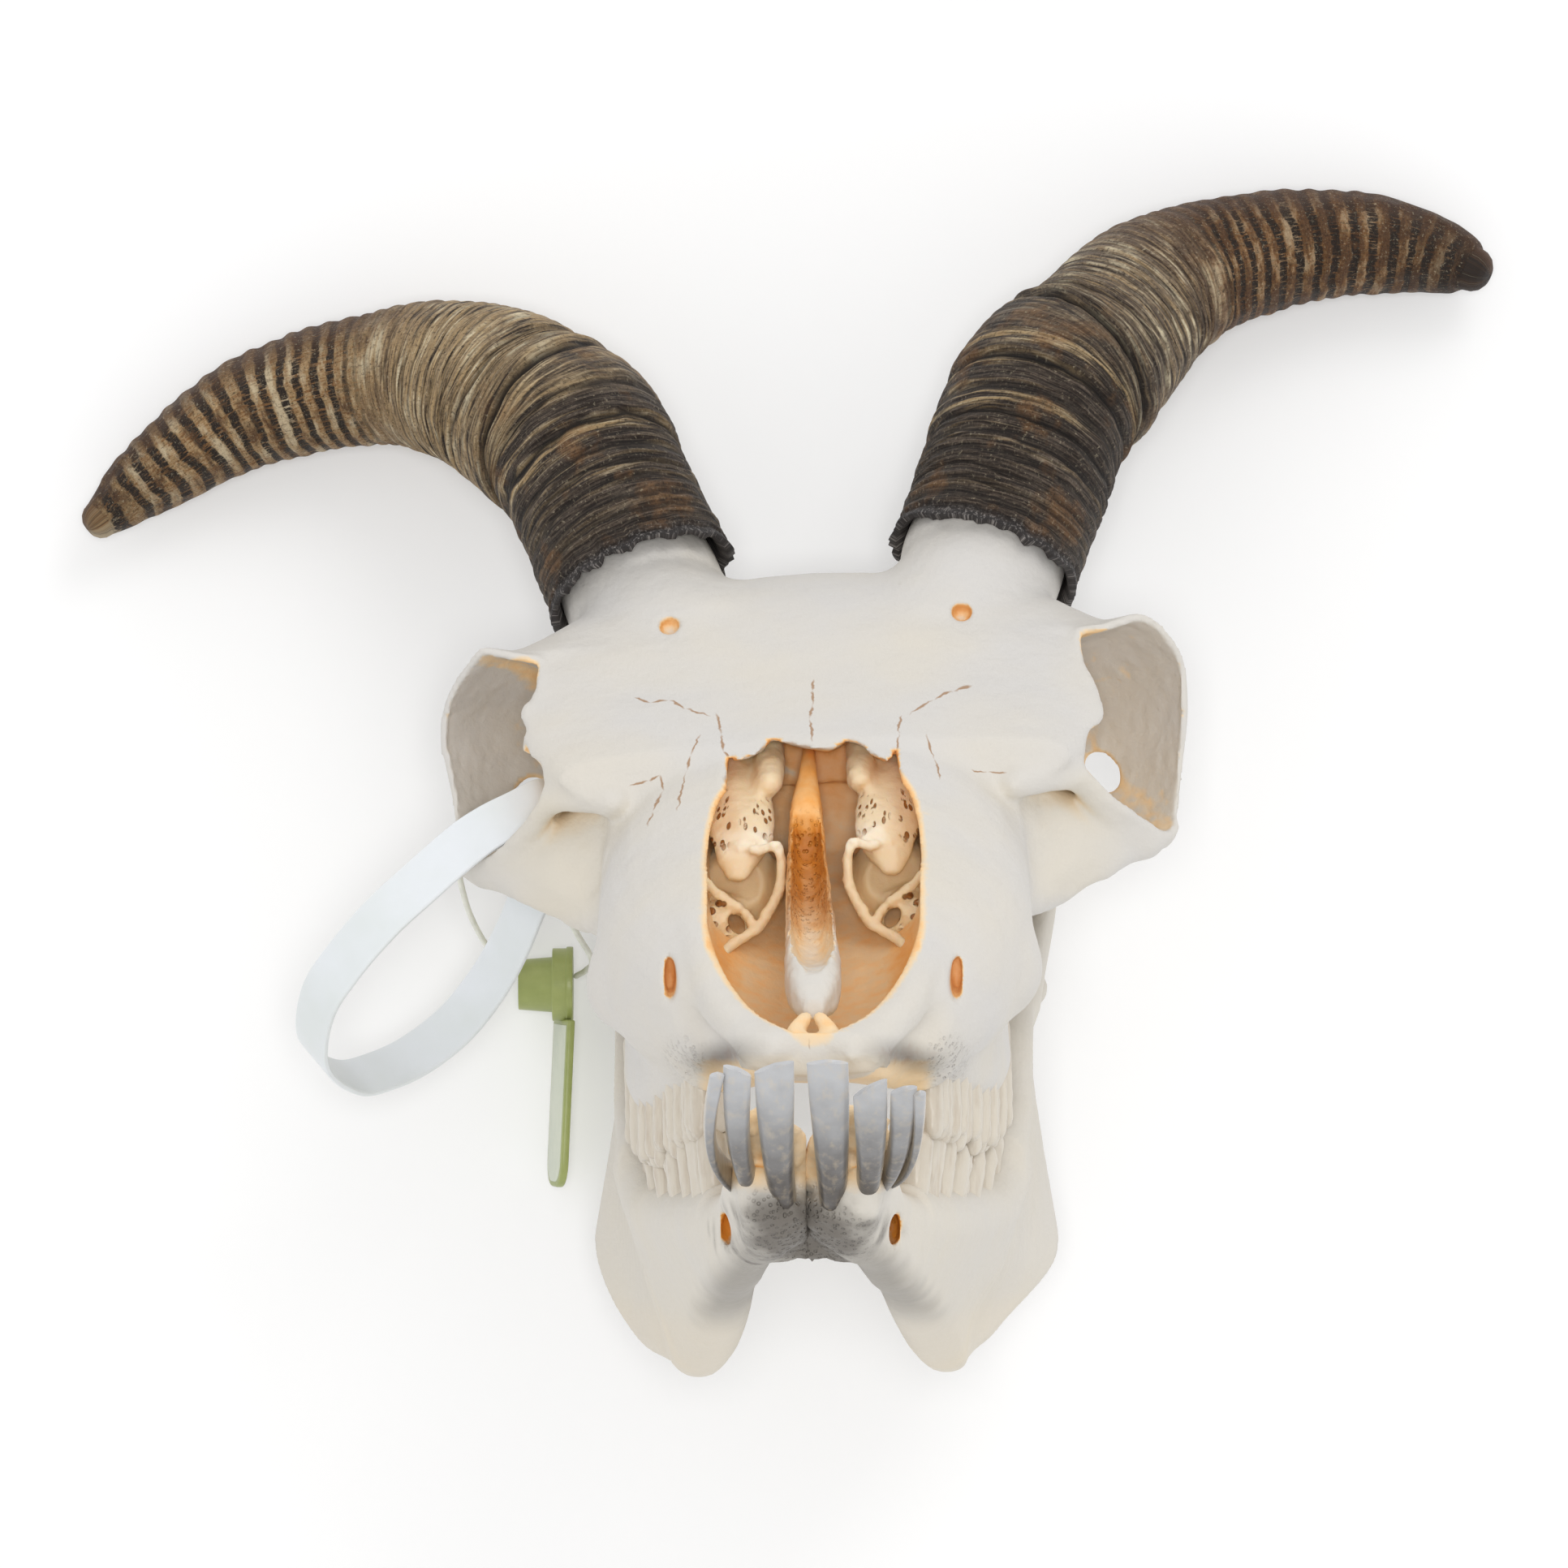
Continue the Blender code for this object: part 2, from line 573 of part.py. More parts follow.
def build_jaw(side, tools):
    """One half of the lower jaw with its cheek teeth and incisors, side 1 being left."""
    bone = Blockout()
    bone.plank(JAW_BODY, both=False)
    bone.plank(JAW_RAMUS, both=False)
    bone.limb([(30, -36, 47, 4.0), (36.5, -37, 47, 3.6)], both=False)
    coronoid = [(35.5, -40, 60, 7), (39.5, -22, 57, 5), (41.0, -9, 52, 3)]
    bone.limb(coronoid, (0, 0, 1), 2.4, both=False)
    bone.limb([(1.5, -71.5, 196, 5.0), (2.5, -70.8, 206, 5.0), (3.5, -70.0, 216, 4.6)], both=False)
    for z, x, length, width, crown in UPPER_TEETH:
        foot = x - LOWER_TEETH_INSET
        width *= 0.86
        row = (foot, crown - BITE_GAP - width, foot - 2.0, -76, width)
        bone.plank([(z - length, *row), (z + length, *row)], both=False, steps=1)
    jaw = bone.object("jaw", tools)
    for vertex in jaw.data.vertices:
        vertex.co.x *= side
    add_remesh(jaw, BONE_VOXEL, 3)
    holes = Blockout()
    hole_x = CHIN_HOLE_X[side]
    holes.limb([(side * hole_x, -74.0, 222, 2.8), (side * (hole_x - 2.4), -74.4, 190, 2.8)],
               (0, 1, 0), 2.2, both=False)
    add_boolean(jaw, cutter_from(holes, "chin_holes", tools), "DIFFERENCE")
    applied(jaw)
    keep_largest(jaw)
    move_points(jaw, turn_jaw)

    teeth = Blockout()
    for foot_x, foot_y, tip_x, tip_y, half in INCISORS:
        if (foot_x > JAW_MIDLINE) == (side > 0):
            low = (foot_x * 0.9, foot_y - 1.2, INCISOR_FOOT_Z - 8, half * 0.62)
            mid = (0.5 * (foot_x + tip_x) * 1.04, 0.5 * (foot_y + tip_y) - 2.2)
            mid += (0.5 * (INCISOR_FOOT_Z + INCISOR_TIP_Z) + 1.0, half * 0.95)
            top = (tip_x, tip_y - 1.0, INCISOR_TIP_Z - 1.5, half)
            teeth.limb([low, mid, top], (1, 0, 0), 1.9, both=False)
    incisors = teeth.object("incisors", tools)
    add_remesh(incisors, TOOTH_VOXEL, 2)
    add_decimate(applied(incisors), INCISOR_TRIANGLES)
    applied(incisors)
    add_decimate(jaw, JAW_TRIANGLES)
    applied(jaw)
    add_boolean(jaw, incisors, "UNION")
    middle = (JAW_MIDLINE + side * SUTURE_GAP / 2, 0, 0)
    cut_with(jaw, half_space("jaw_gap", middle, (-side, 0, 0), tools))
    return jaw


# --- Horns -------------------------------------------------------------------
HORN_RIGHT = (  # x, y, z, radius; the animal's right horn lies at -X
    (-31.2, 35.9, 52.4, 17.0), (-34.8, 43.9, 49.0, 16.6), (-39.1, 53.1, 44.0, 16.5),
    (-43.9, 62.1, 38.0, 17.1), (-51.4, 67.3, 32.0, 16.5), (-58.2, 71.7, 27.0, 15.9),
    (-69.7, 74.7, 20.5, 13.9), (-81.4, 74.4, 15.8, 12.0), (-94.4, 71.7, 13.0, 11.1),
    (-107.6, 66.7, 11.4, 9.7), (-123.3, 55.8, 11.4, 6.7), (-128.3, 51.4, 12.0, 5.0),
    (-131.4, 48.8, 12.8, 3.6),
)
HORN_LEFT = (
    (30.6, 40.0, 53.0, 17.0), (33.4, 47.6, 50.0, 16.8), (35.9, 55.1, 46.5, 16.9),
    (39.2, 64.1, 41.5, 17.0), (43.3, 71.7, 36.5, 17.3), (50.4, 78.0, 31.0, 15.8),
    (59.5, 88.0, 23.5, 14.5), (65.8, 92.1, 19.5, 13.4), (72.3, 95.0, 16.5, 12.2),
    (84.7, 98.3, 13.2, 10.9), (96.8, 99.6, 11.3, 9.7), (109.1, 98.7, 10.8, 8.2),
    (118.3, 96.1, 11.8, 6.1), (121.0, 94.9, 12.6, 4.2),
)


def build_horn(name, stations, tools):
    """A horn sheath: one tapering curved cone with an oval section."""
    horn = Blockout()
    rows = [(x, y, z, radius * HORN_DEPTH_RATIO) for x, y, z, radius in stations]
    depth = (0, 0, 1)
    horn.limb(rows, depth, HORN_DEPTH_RATIO, both=False, steps=3, round_foot=False)
    obj = horn.object(name, tools)
    add_decimate(obj, HORN_TRIANGLES)
    return applied(obj)


# --- Inside the nose ----------------------------------------------------------
VOMER = (  # z, upper x, upper y, lower x, lower y, half thickness
    (112, 0, 2, 0, -30, 1.6),
    (128, 0, -2, 0, -38, 1.8),
    (145, 0, -13, 0, -46, 2.4),
    (160, 0, -22, 0, -48, 3.4),
    (178, 0, -31, 0, -47, 4.0),
    (194, 0, -37.5, 0, -46, 4.2),
    (205, 0, -41.0, 0, -46, 2.6),
)


def build_vomer(tools):
    bone = Blockout()
    bone.plank(VOMER, both=False)
    vomer = bone.object("vomer", tools)
    add_remesh(vomer, INNER_VOXEL, 2)
    applied(vomer)
    add_decimate(vomer, VOMER_TRIANGLES)
    return applied(vomer)


def build_concha(side, tools):
    """The ethmoid lobe and the scrolled plate below it, on one side of the nose."""
    bone = Blockout()
    bone.limb([(9.5, 4, 108, 4.0), (9.5, 1.5, 118, 4.2)], both=False)
    bone.limb([(12.5, -2, 108, 5.5), (12.8, -8, 122, 5.2), (12.5, -14, 136, 4.6)], both=False)
    scroll = [(12.5, -14, 130, 5.4), (14, -23, 146, 5.0), (15.0, -29, 156, 2.6)]
    bone.limb(scroll, (1, 0, 0), 1.5, both=False)
    bone.limb([(12, -2, 100, 6.0), (14, -14, 112, 7.0), (18, -24, 138, 5.0)], both=False)
    concha = bone.object("concha", tools)
    for vertex in concha.data.vertices:
        vertex.co.x *= side
    return concha


# --- What the skull wears -------------------------------------------------------
BAND_AXIS = Vector((-0.60, 0.68, -0.42)).normalized()
BAND_WIDTH, BAND_THICKNESS = 9.0, 1.0
BAND_ROUTE = (  # the edge nearest the nose, once round the cheek bone
    (-49.2, -7.8, 98.5), (-54.4, -10.4, 98.2), (-59.6, -13.9, 97.0), (-67.6, -20.9, 96.6),
    (-74.0, -26.8, 96.3), (-80.6, -34.3, 93.0), (-85.6, -42.0, 87.0), (-86.8, -51.1, 75.0),
    (-81.5, -55.8, 60.5), (-75.6, -54.9, 53.0), (-69.1, -51.8, 48.8), (-62.1, -46.2, 47.8),
    (-56.0, -38.5, 51.5), (-51.7, -30.8, 58.0), (-47.7, -21.7, 67.0), (-42.6, -12.5, 78.0),
    (-41.2, -6.6, 90.0), (-44.0, -5.4, 97.0),
)
TAG_CENTRE = Vector((-51.0, -37.0, 9.2))
TAG_RADIUS, TAG_LENGTH, TAG_WALL = 4.9, 7.1, 1.1
FLANGE_RADIUS, FLANGE_THICKNESS = 6.9, 3.0
STRIP_LENGTH, STRIP_WIDTH, STRIP_THICKNESS = 31.0, 13.0, 1.4
STRIP_TURN = math.radians(13)
STRIP_HANG = 22.8           # from the button's middle down to the strip's middle
CORD_RADIUS = 0.55


def build_band(tools):
    """The flat strap, a closed ribbon round the cheek bone."""
    route = [Vector(p) for p in closed_route(BAND_ROUTE, 3)]
    count = len(route)
    mesh = bmesh.new()
    rows = []
    for i, point in enumerate(route):
        forward = (route[(i + 1) % count] - route[i - 1]).normalized()
        outward = forward.cross(BAND_AXIS).normalized()
        far = BAND_AXIS * BAND_WIDTH
        half = outward * (BAND_THICKNESS / 2)
        corners = (point - half, point + half, point + far + half, point + far - half)
        rows.append([mesh.verts.new(c * MM) for c in corners])
    for i in range(count):
        near, later = rows[i], rows[(i + 1) % count]
        for k in range(4):
            j = (k + 1) % 4
            mesh.faces.new((near[k], near[j], later[j], later[k]))
    bmesh.ops.recalc_face_normals(mesh, faces=mesh.faces)
    return object_from(mesh, "band_seal", tools)


def add_cylinder(mesh, centre, radius, length, sides=24):
    """A closed cylinder along X."""
    turn = Matrix.Rotation(math.pi / 2, 4, "Y")
    place = Matrix.Translation(centre * MM) @ turn
    bmesh.ops.create_cone(
        mesh,
        cap_ends=True,
        segments=sides,
        radius1=radius * MM,
        radius2=radius * MM,
        depth=length * MM,
        matrix=place,
    )


def build_tag(tools):
    """The tag: a hollow button with a flange, and the strip that hangs from it."""
    mesh = bmesh.new()
    add_cylinder(mesh, TAG_CENTRE, TAG_RADIUS, TAG_LENGTH)
    button = object_from(mesh, "tag_button", tools)
    mesh = bmesh.new()
    flange = TAG_CENTRE + Vector((TAG_LENGTH / 2 + FLANGE_THICKNESS / 2 - 0.3, 0, 0))
    add_cylinder(mesh, flange, FLANGE_RADIUS, FLANGE_THICKNESS)
    add_boolean(button, object_from(mesh, "tag_flange", tools), "UNION")
    mesh = bmesh.new()
    bore = TAG_CENTRE - Vector((2.0, 0, 0))
    add_cylinder(mesh, bore, TAG_RADIUS - TAG_WALL, TAG_LENGTH)
    hollow = object_from(mesh, "tag_bore", tools)
    add_boolean(button, hollow, "DIFFERENCE")
    applied(button)

    mesh = bmesh.new()
    size = Vector((STRIP_THICKNESS, STRIP_LENGTH, STRIP_WIDTH))
    lean = Matrix.Rotation(STRIP_TURN, 4, "Y") @ Matrix.Diagonal((*size * MM, 1))
    strip_place = flange + Vector((-0.2, -STRIP_HANG, 0))
    place = Matrix.Translation(strip_place * MM) @ lean
    bmesh.ops.create_cube(mesh, size=1.0, matrix=place)
    strip = object_from(mesh, "tag_strip", tools)
    return button, strip


CORD_ROUTE = (
    (-43.9, -35.4, 9.8), (-42.0, -34.2, 12.5), (-40.9, -32.0, 20.0), (-44.5, -24.0, 44.0),
    (-47.5, -9.0, 62.0), (-57.0, -4.5, 72.0), (-63.5, -12.0, 68.0), (-63.2, -21.0, 50.0),
    (-60.4, -28.8, 28.0), (-57.2, -32.4, 14.0), (-54.0, -34.6, 9.4),
)


def build_cord(tools):
    """The thin cord that holds the tag to the cheek bone."""
    curve = bpy.data.curves.new("tag_cord", "CURVE")
    curve.dimensions = "3D"
    curve.bevel_depth = CORD_RADIUS * MM
    curve.bevel_resolution = 2
    curve.use_fill_caps = True
    path = spline(CORD_ROUTE, 3)
    line = curve.splines.new("POLY")
    line.points.add(len(path) - 1)
    for point, place in zip(line.points, path):
        point.co = (*(Vector(place) * MM), 1.0)
    obj = bpy.data.objects.new("tag_cord_curve", curve)
    tools.objects.link(obj)
    bpy.context.view_layer.update()
    graph = bpy.context.evaluated_depsgraph_get()
    mesh = bmesh.new()
    mesh.from_mesh(bpy.data.meshes.new_from_object(obj.evaluated_get(graph)))
    bmesh.ops.remove_doubles(mesh, verts=mesh.verts, dist=0.01 * MM)
    bpy.data.objects.remove(obj)
    return object_from(mesh, "tag_cord", tools)



# --- Parting and finishing -------------------------------------------------------
BACK_CUT = ((0, 37, 47), (0, 0.364, 0.931))     # behind the horns, across the arches
BROW_CUT = ((0, -1.9, 119), (0, 0.990, 0.144))  # between the brow and the face


def part_cranium(whole, tools):
    """Cut the cranium along its sutures into five bones, with a thin gap between."""

    def piece(name, *cuts):
        obj = whole.copy()
        obj.data = whole.data.copy()
        obj.name = name
        tools.objects.link(obj)
        for point, normal in cuts:
            away = -Vector(normal).normalized()
            clear = Vector(point) - away * (SUTURE_GAP / 2)
            cut_with(obj, half_space(name + "_cut", clear, away, tools), folded=True)
        return obj

    back, brow = BACK_CUT, BROW_CUT
    under_back = (back[0], tuple(-n for n in back[1]))
    under_brow = (brow[0], tuple(-n for n in brow[1]))
    left, right = ((0, 0, 0), (1, 0, 0)), ((0, 0, 0), (-1, 0, 0))
    return [
        piece("braincase", under_back),
        piece("brow_left", left, back, brow),
        piece("brow_right", right, back, brow),
        piece("upper_jaw_left", left, back, under_brow),
        piece("upper_jaw_right", right, back, under_brow),
    ]


def main():
    clear_scene()
    parts = make_collection("ram_skull", False)
    tools = make_collection("cutters", True)

    horns = [
        build_horn("horn_right", HORN_RIGHT, tools),
        build_horn("horn_left", HORN_LEFT, tools),
    ]
    band = build_band(tools)
    button, strip = build_tag(tools)
    cord = build_cord(tools)
    cranium = build_cranium(tools)
    for other in (*horns, band, cord):
        cut_with(cranium, grown(other, CONTACT_GAP, tools))
    cranium_room = applied(grown(cranium, CONTACT_GAP, tools))
    inner = [build_vomer(tools)]
    conchae = []
    for side, name in ((1, "concha_left"), (-1, "concha_right")):
        concha = build_concha(side, tools)
        add_remesh(concha, INNER_VOXEL, 2)
        applied(concha)
        add_decimate(concha, CONCHA_TRIANGLES)
        applied(concha)
        concha.name = name
        cut_with(concha, grown(inner[0], CONTACT_GAP, tools))
        conchae.append(concha)
    jaws = []
    for side, name in ((1, "lower_jaw_left"), (-1, "lower_jaw_right")):
        jaw = build_jaw(side, tools)
        jaw.name = name
        jaws.append(jaw)
    for obj in (*inner, *conchae, *jaws):
        cut_with(obj, cranium_room)
    for obj in jaws:
        cut_with(obj, grown(band, CONTACT_GAP, tools))

    pieces = {"bone": part_cranium(cranium, tools) + inner + conchae + jaws}
    pieces["horn"] = horns
    pieces["band"] = [band, cord]
    pieces["tag"] = [button, strip]
    floor = half_space("floor", (0, 0, 0), (0, 0, -1), tools)
    for kind, group in pieces.items():
        material = make_material(kind)
        for obj in group:
            cut_with(obj, floor)
            tidy_mesh(obj)
            move_points(obj, lambda place: FRAME_SHIFT)
            obj.data.materials.clear()
            obj.data.materials.append(material)
            obj.data.shade_smooth()
            obj.data.set_sharp_from_angle(angle=math.radians(40))
            tools.objects.unlink(obj)
            parts.objects.link(obj)
            obj.hide_render = False
            obj.display_type = "TEXTURED"


main()
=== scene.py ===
# Looks of a young bighorn sheep's skull, lying on its back under a high camera.
#
# Bones are modelled as clay: closed forms are laid into a distance field, smoothly joined and carved,
# and the field is then turned into one skin. Horns, teeth, the strap and the tag are swept or built
# with modelling operators.
#
# Sizes are in millimetres in the skull's own frame, whose X = 0 is the midline. FRAME_SHIFT carries
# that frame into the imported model's, in which every finished mesh is written, in metres.

import logging
import math
from collections.abc import Callable
from dataclasses import dataclass
from enum import Enum

import bpy
import numpy as np
import openvdb as vdb
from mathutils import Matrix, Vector


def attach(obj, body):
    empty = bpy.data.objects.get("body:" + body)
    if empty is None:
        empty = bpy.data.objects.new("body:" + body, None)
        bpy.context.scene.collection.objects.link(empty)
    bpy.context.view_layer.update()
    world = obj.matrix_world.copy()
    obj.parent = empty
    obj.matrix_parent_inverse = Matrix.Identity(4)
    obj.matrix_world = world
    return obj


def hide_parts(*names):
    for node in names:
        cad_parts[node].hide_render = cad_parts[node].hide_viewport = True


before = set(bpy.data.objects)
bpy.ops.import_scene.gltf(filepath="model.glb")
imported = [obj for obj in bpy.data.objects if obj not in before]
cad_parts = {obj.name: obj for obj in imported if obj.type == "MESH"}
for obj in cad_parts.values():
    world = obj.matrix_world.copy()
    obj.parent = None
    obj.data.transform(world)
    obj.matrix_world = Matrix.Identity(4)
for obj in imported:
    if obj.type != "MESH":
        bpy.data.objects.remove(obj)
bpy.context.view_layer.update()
LOG = logging.getLogger("skull")

MM = 0.001
FRAME_SHIFT = np.array((4.58, -1.07, 0.0))

Row = tuple[float, ...]
Rows = list[Row] | tuple[Row, ...]
X_AXIS, Y_AXIS, Z_AXIS = (1.0, 0.0, 0.0), (0.0, 1.0, 0.0), (0.0, 0.0, 1.0)

# --- Sizes of the skull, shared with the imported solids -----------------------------
SKEW, SKEW_FULL_Z, SKEW_NONE_Z = 0.045, 130.0, 175.0  # the crown's lean, and where it has faded out
JAW_YAW, JAW_YAW_Z = 0.020, 150.0  # the lower jaw's turn, about this height
JAW_MIDLINE = -1.0
NOSE_DRIFT, NOSE_DRIFT_Z = 0.0075, 90.0  # the nose's lean to one side, and where it starts
TEETH_DRIFT = 0.6
BITE_GAP, LOWER_TEETH_INSET = 0.6, 2.2
HORN_DEPTH_RATIO = 1.18


class Side(Enum):
    """The animal's own left and right."""

    LEFT = 1
    RIGHT = -1

    @property
    def word(self) -> str:
        """The side's name as node names end in it."""
        return self.name.lower()


# --- Numbers and noise ---------------------------------------------------------
NOISE_CELLS = 32  # the noise repeats after this many lumps


def spline(points: Rows, steps: int) -> np.ndarray:
    """Points of a Catmull-Rom curve through rows of numbers of any width.

    Args:
        points: the rows the curve passes through.
        steps: how many points each span gets.

    Returns:
        One row for each point of the curve.
    """
    rows = np.array(points, float)
    padded = np.vstack([2 * rows[0] - rows[1], rows, 2 * rows[-1] - rows[-2]])
    out = []
    for i in range(1, len(padded) - 2):
        a, b, c, d = padded[i - 1 : i + 3]
        for k in range(steps):
            t = k / steps
            cubic = (3 * b - a - 3 * c + d) * t**3
            square = (2 * a - 5 * b + 4 * c - d) * t**2
            out.append(0.5 * (2 * b + (c - a) * t + square + cubic))
    return np.array([*out, rows[-1]])


def closed_route(points: Rows, steps: int) -> np.ndarray:
    """Points of a smooth closed curve through the given ones."""
    rows = np.array(points, float)
    return spline(np.vstack([rows[-2:], rows, rows[:2]]), steps)[2 * steps : -steps - 1]


def unit(vector: np.ndarray | Row) -> np.ndarray:
    """The vector at length one."""
    vector = np.asarray(vector, float)
    return vector / np.linalg.norm(vector, axis=-1, keepdims=True)


def smoothstep(value: np.ndarray, low: float, high: float) -> np.ndarray:
    """A soft ramp from 0 at low to 1 at high."""
    t = np.clip((value - low) / (high - low), 0.0, 1.0)
    return t * t * (3 - 2 * t)


def oval(x: np.ndarray, y: np.ndarray, middle: Row, size: Row, edge: Row) -> np.ndarray:
    """A soft oval patch: 1 up to the first share of its size, 0 beyond the second."""
    off = np.hypot((x - middle[0]) / size[0], (y - middle[1]) / size[1])
    return smoothstep(-off, -edge[1], -edge[0])


def corner_blend(table: np.ndarray, low: np.ndarray, part: np.ndarray) -> np.ndarray:
    """A table's numbers between its cells.

    Args:
        table: numbers in space, repeated beyond its ends.
        low: each place's cell.
        part: how far the place is from that cell to the next, 0 to 1.

    Returns:
        A value for each place.
    """
    total = np.zeros(len(low), np.float32)
    for corner in range(8):
        step = np.array([corner & 1, corner >> 1 & 1, corner >> 2 & 1])
        i, j, k = ((low + step) % table.shape).T
        total += np.prod(np.where(step, part, 1 - part), axis=1) * table[i, j, k]
    return total


def lumps(points: np.ndarray, size: float, seed: int) -> np.ndarray:
    """Smooth random lumps in space.

    Args:
        points: places, one a row.
        size: width of a lump, in the points' units.
        seed: which lumps.

    Returns:
        A value between -1 and 1 for each place.
    """
    cells = np.random.default_rng(seed).uniform(-1, 1, (NOISE_CELLS,) * 3).astype(np.float32)
    low = np.floor(points / size).astype(np.int64)
    return corner_blend(cells, low, smoothstep(points / size - low, 0, 1))


def grit(points: np.ndarray, size: float, seed: int, octaves: int = 3) -> np.ndarray:
    """Lumps on lumps, each half the size and strength of the last.

    Args:
        points: places, one a row.
        size: width of the widest lumps.
        seed: which lumps.
        octaves: how many layers of them.

    Returns:
        A value for each place.
    """
    total = np.zeros(len(points), np.float32)
    for octave in range(octaves):
        total += lumps(points, size / 2**octave, seed + octave) / 2**octave
    return total


# --- Closed forms ----------------------------------------------------------------
RING_POINTS = 32
CAP = ((-0.95, 0.3), (-0.7, 0.72), (0.0, 1.0))  # how far behind and how wide a rounded end's rings are


@dataclass(frozen=True)
class Form:
    """A closed shape: equal rings of points, one row of points a ring."""

    rings: np.ndarray

    def mirrored(self) -> "Form":
        """The same form on the other side of the midline."""
        return Form(self.rings * np.array((-1.0, 1.0, 1.0)))

    def mesh(self) -> tuple[np.ndarray, np.ndarray, np.ndarray]:
        """Points, end triangles and side quads of the closed form.

        Returns:
            One row for each point or face.
        """
        count, around, _ = self.rings.shape
        points = np.vstack([self.rings.reshape(-1, 3), self.rings[[0, -1]].mean(axis=1)])
        k = np.arange(around)
        turn = np.roll(k, -1)
        last = (count - 1) * around
        start = np.full(around, count * around)
        foot = np.stack([start, turn, k], axis=1)
        head = np.stack([start + 1, last + k, last + turn], axis=1)
        return points, np.vstack([foot, head]), side_quads(count, around)[: last]


def side_quads(count: int, around: int) -> np.ndarray:
    """Quads between rings of points, the last of them from the last ring back to the first.

    Args:
        count: how many rings there are.
        around: how many points each has.

    Returns:
        Four point numbers a row.
    """
    k = np.arange(around)
    turn = np.roll(k, -1)
    row = np.arange(count)[:, None] * around
    later = np.roll(row, -1)
    return np.stack([row + k, row + turn, later + turn, later + k], axis=-1).reshape(-1, 4)


def angles(count: int = RING_POINTS) -> np.ndarray:
    """Even angles once round."""
    return 2 * np.pi * np.arange(count) / count


def squared(value: np.ndarray, power: float) -> np.ndarray:
    """A sine or cosine pushed towards 1 and -1, for a squarer ring."""
    return np.sign(value) * np.abs(value) ** power


def hull(stations: Rows, power: float = 2.4, steps: int = 5) -> Form:
    """A form through rounded sections across Z.

    Args:
        stations: rows of z, x, y, half width and half height.
        power: 2 for an ellipse, more for a squarer section.
        steps: sections between two stations.

    Returns:
        The form.
    """
    across, up = (squared(wave(angles()), 2 / power) for wave in (np.cos, np.sin))
    return Form(np.array([
        np.stack([x + max(wide, 0.5) * across, y + max(high, 0.5) * up, np.full(RING_POINTS, z)], axis=1)
        for z, x, y, wide, high in spline(stations, steps)
    ]))


def plank(stations: Rows, steps: int = 5) -> Form:
    """A leaning plate with round edges.

    Args:
        stations: rows of z, upper x, upper y, lower x, lower y and half thickness.
        steps: sections between two stations.

    Returns:
        The form.
    """
    half = RING_POINTS // 2
    rings = []
    for z, tx, ty, fx, fy, thick in spline(stations, steps):
        start = math.atan2(ty - fy, tx - fx)
        ring = []
        for end, (x, y) in enumerate(((tx, ty), (fx, fy))):
            turn = start - np.pi / 2 + np.pi * (np.arange(half) / (half - 1) + end)
            edge = [x + thick * np.cos(turn), y + thick * np.sin(turn), np.full(half, z)]
            ring.append(np.stack(edge, axis=1))
        rings.append(np.vstack(ring))
    return Form(np.array(rings))


def limb(points: Rows, wide: Row = (0.31, 0.17, 0.93), ratio: float = 1.0, steps: int = 5) -> Form:
    """A tapered rod along a path, rounded at both ends.

    Args:
        points: rows of x, y, z and radius.
        wide: the direction that keeps the full radius where the rod is flat.
        ratio: how many times thinner the rod is across the other way.
        steps: sections between two points.

    Returns:
        The form.
    """
    path = spline(points, steps)
    forward = unit(np.gradient(path[:, :3], axis=0))
    across = unit(wide)
    u = unit(across - (forward @ across)[:, None] * forward)
    v = np.cross(forward, u)
    turn = angles()
    caps = {0: CAP, len(path) - 1: [(-back, size) for back, size in CAP[::-1]]}
    rings = []
    for i, row in enumerate(path):
        for ahead, size in caps.get(i, CAP[-1:]):
            centre = row[:3] + forward[i] * (ahead * row[3] / ratio)
            ring = centre + np.outer(np.cos(turn) * row[3] * size, u[i])
            rings.append(ring + np.outer(np.sin(turn) * (row[3] / ratio * size), v[i]))
    return Form(np.array(rings))


def ball(centre: Row, radii: Row, axis: Row = X_AXIS) -> Form:
    """An ellipsoid whose first radius lies along axis, level with Y.

    Args:
        centre: its middle.
        radii: its three radii.
        axis: the direction of the first of them.

    Returns:
        The form.
    """
    first = unit(axis)
    second = unit(np.array(Y_AXIS) - first[1] * first)
    third = np.cross(first, second)
    turn = angles()
    rings = []
    for slope in np.linspace(0.06, np.pi - 0.06, 20):
        ring = np.outer(np.full(RING_POINTS, math.cos(slope) * radii[0]), first)
        ring += np.outer(np.cos(turn) * math.sin(slope) * radii[1], second)
        ring += np.outer(np.sin(turn) * math.sin(slope) * radii[2], third)
        rings.append(np.array(centre) + ring)
    return Form(np.array(rings))


# --- Clay: a distance field that takes forms ---------------------------------------
@dataclass(frozen=True)
class Rough:
    """Roughness given to a form's surface before it is joined or carved."""

    depth: float
    size: float
    seed: int = 1


def level_set(points: np.ndarray, voxel: float, reach: float, **faces: np.ndarray) -> vdb.FloatGrid:
    """The distances round a closed mesh.

    Args:
        points: the mesh's points in mm.
        voxel: the field's grain in mm.
        reach: how many voxels from the surface the distances are exact.
        faces: its triangles and quads.

    Returns:
        The field, negative inside.
    """
    corners = {kind: numbers.astype(np.uint32) for kind, numbers in faces.items()}
    return vdb.FloatGrid.createLevelSetFromPolygons(
        points.astype(np.float32), transform=vdb.createLinearTransform(voxel), halfWidth=reach, **corners)


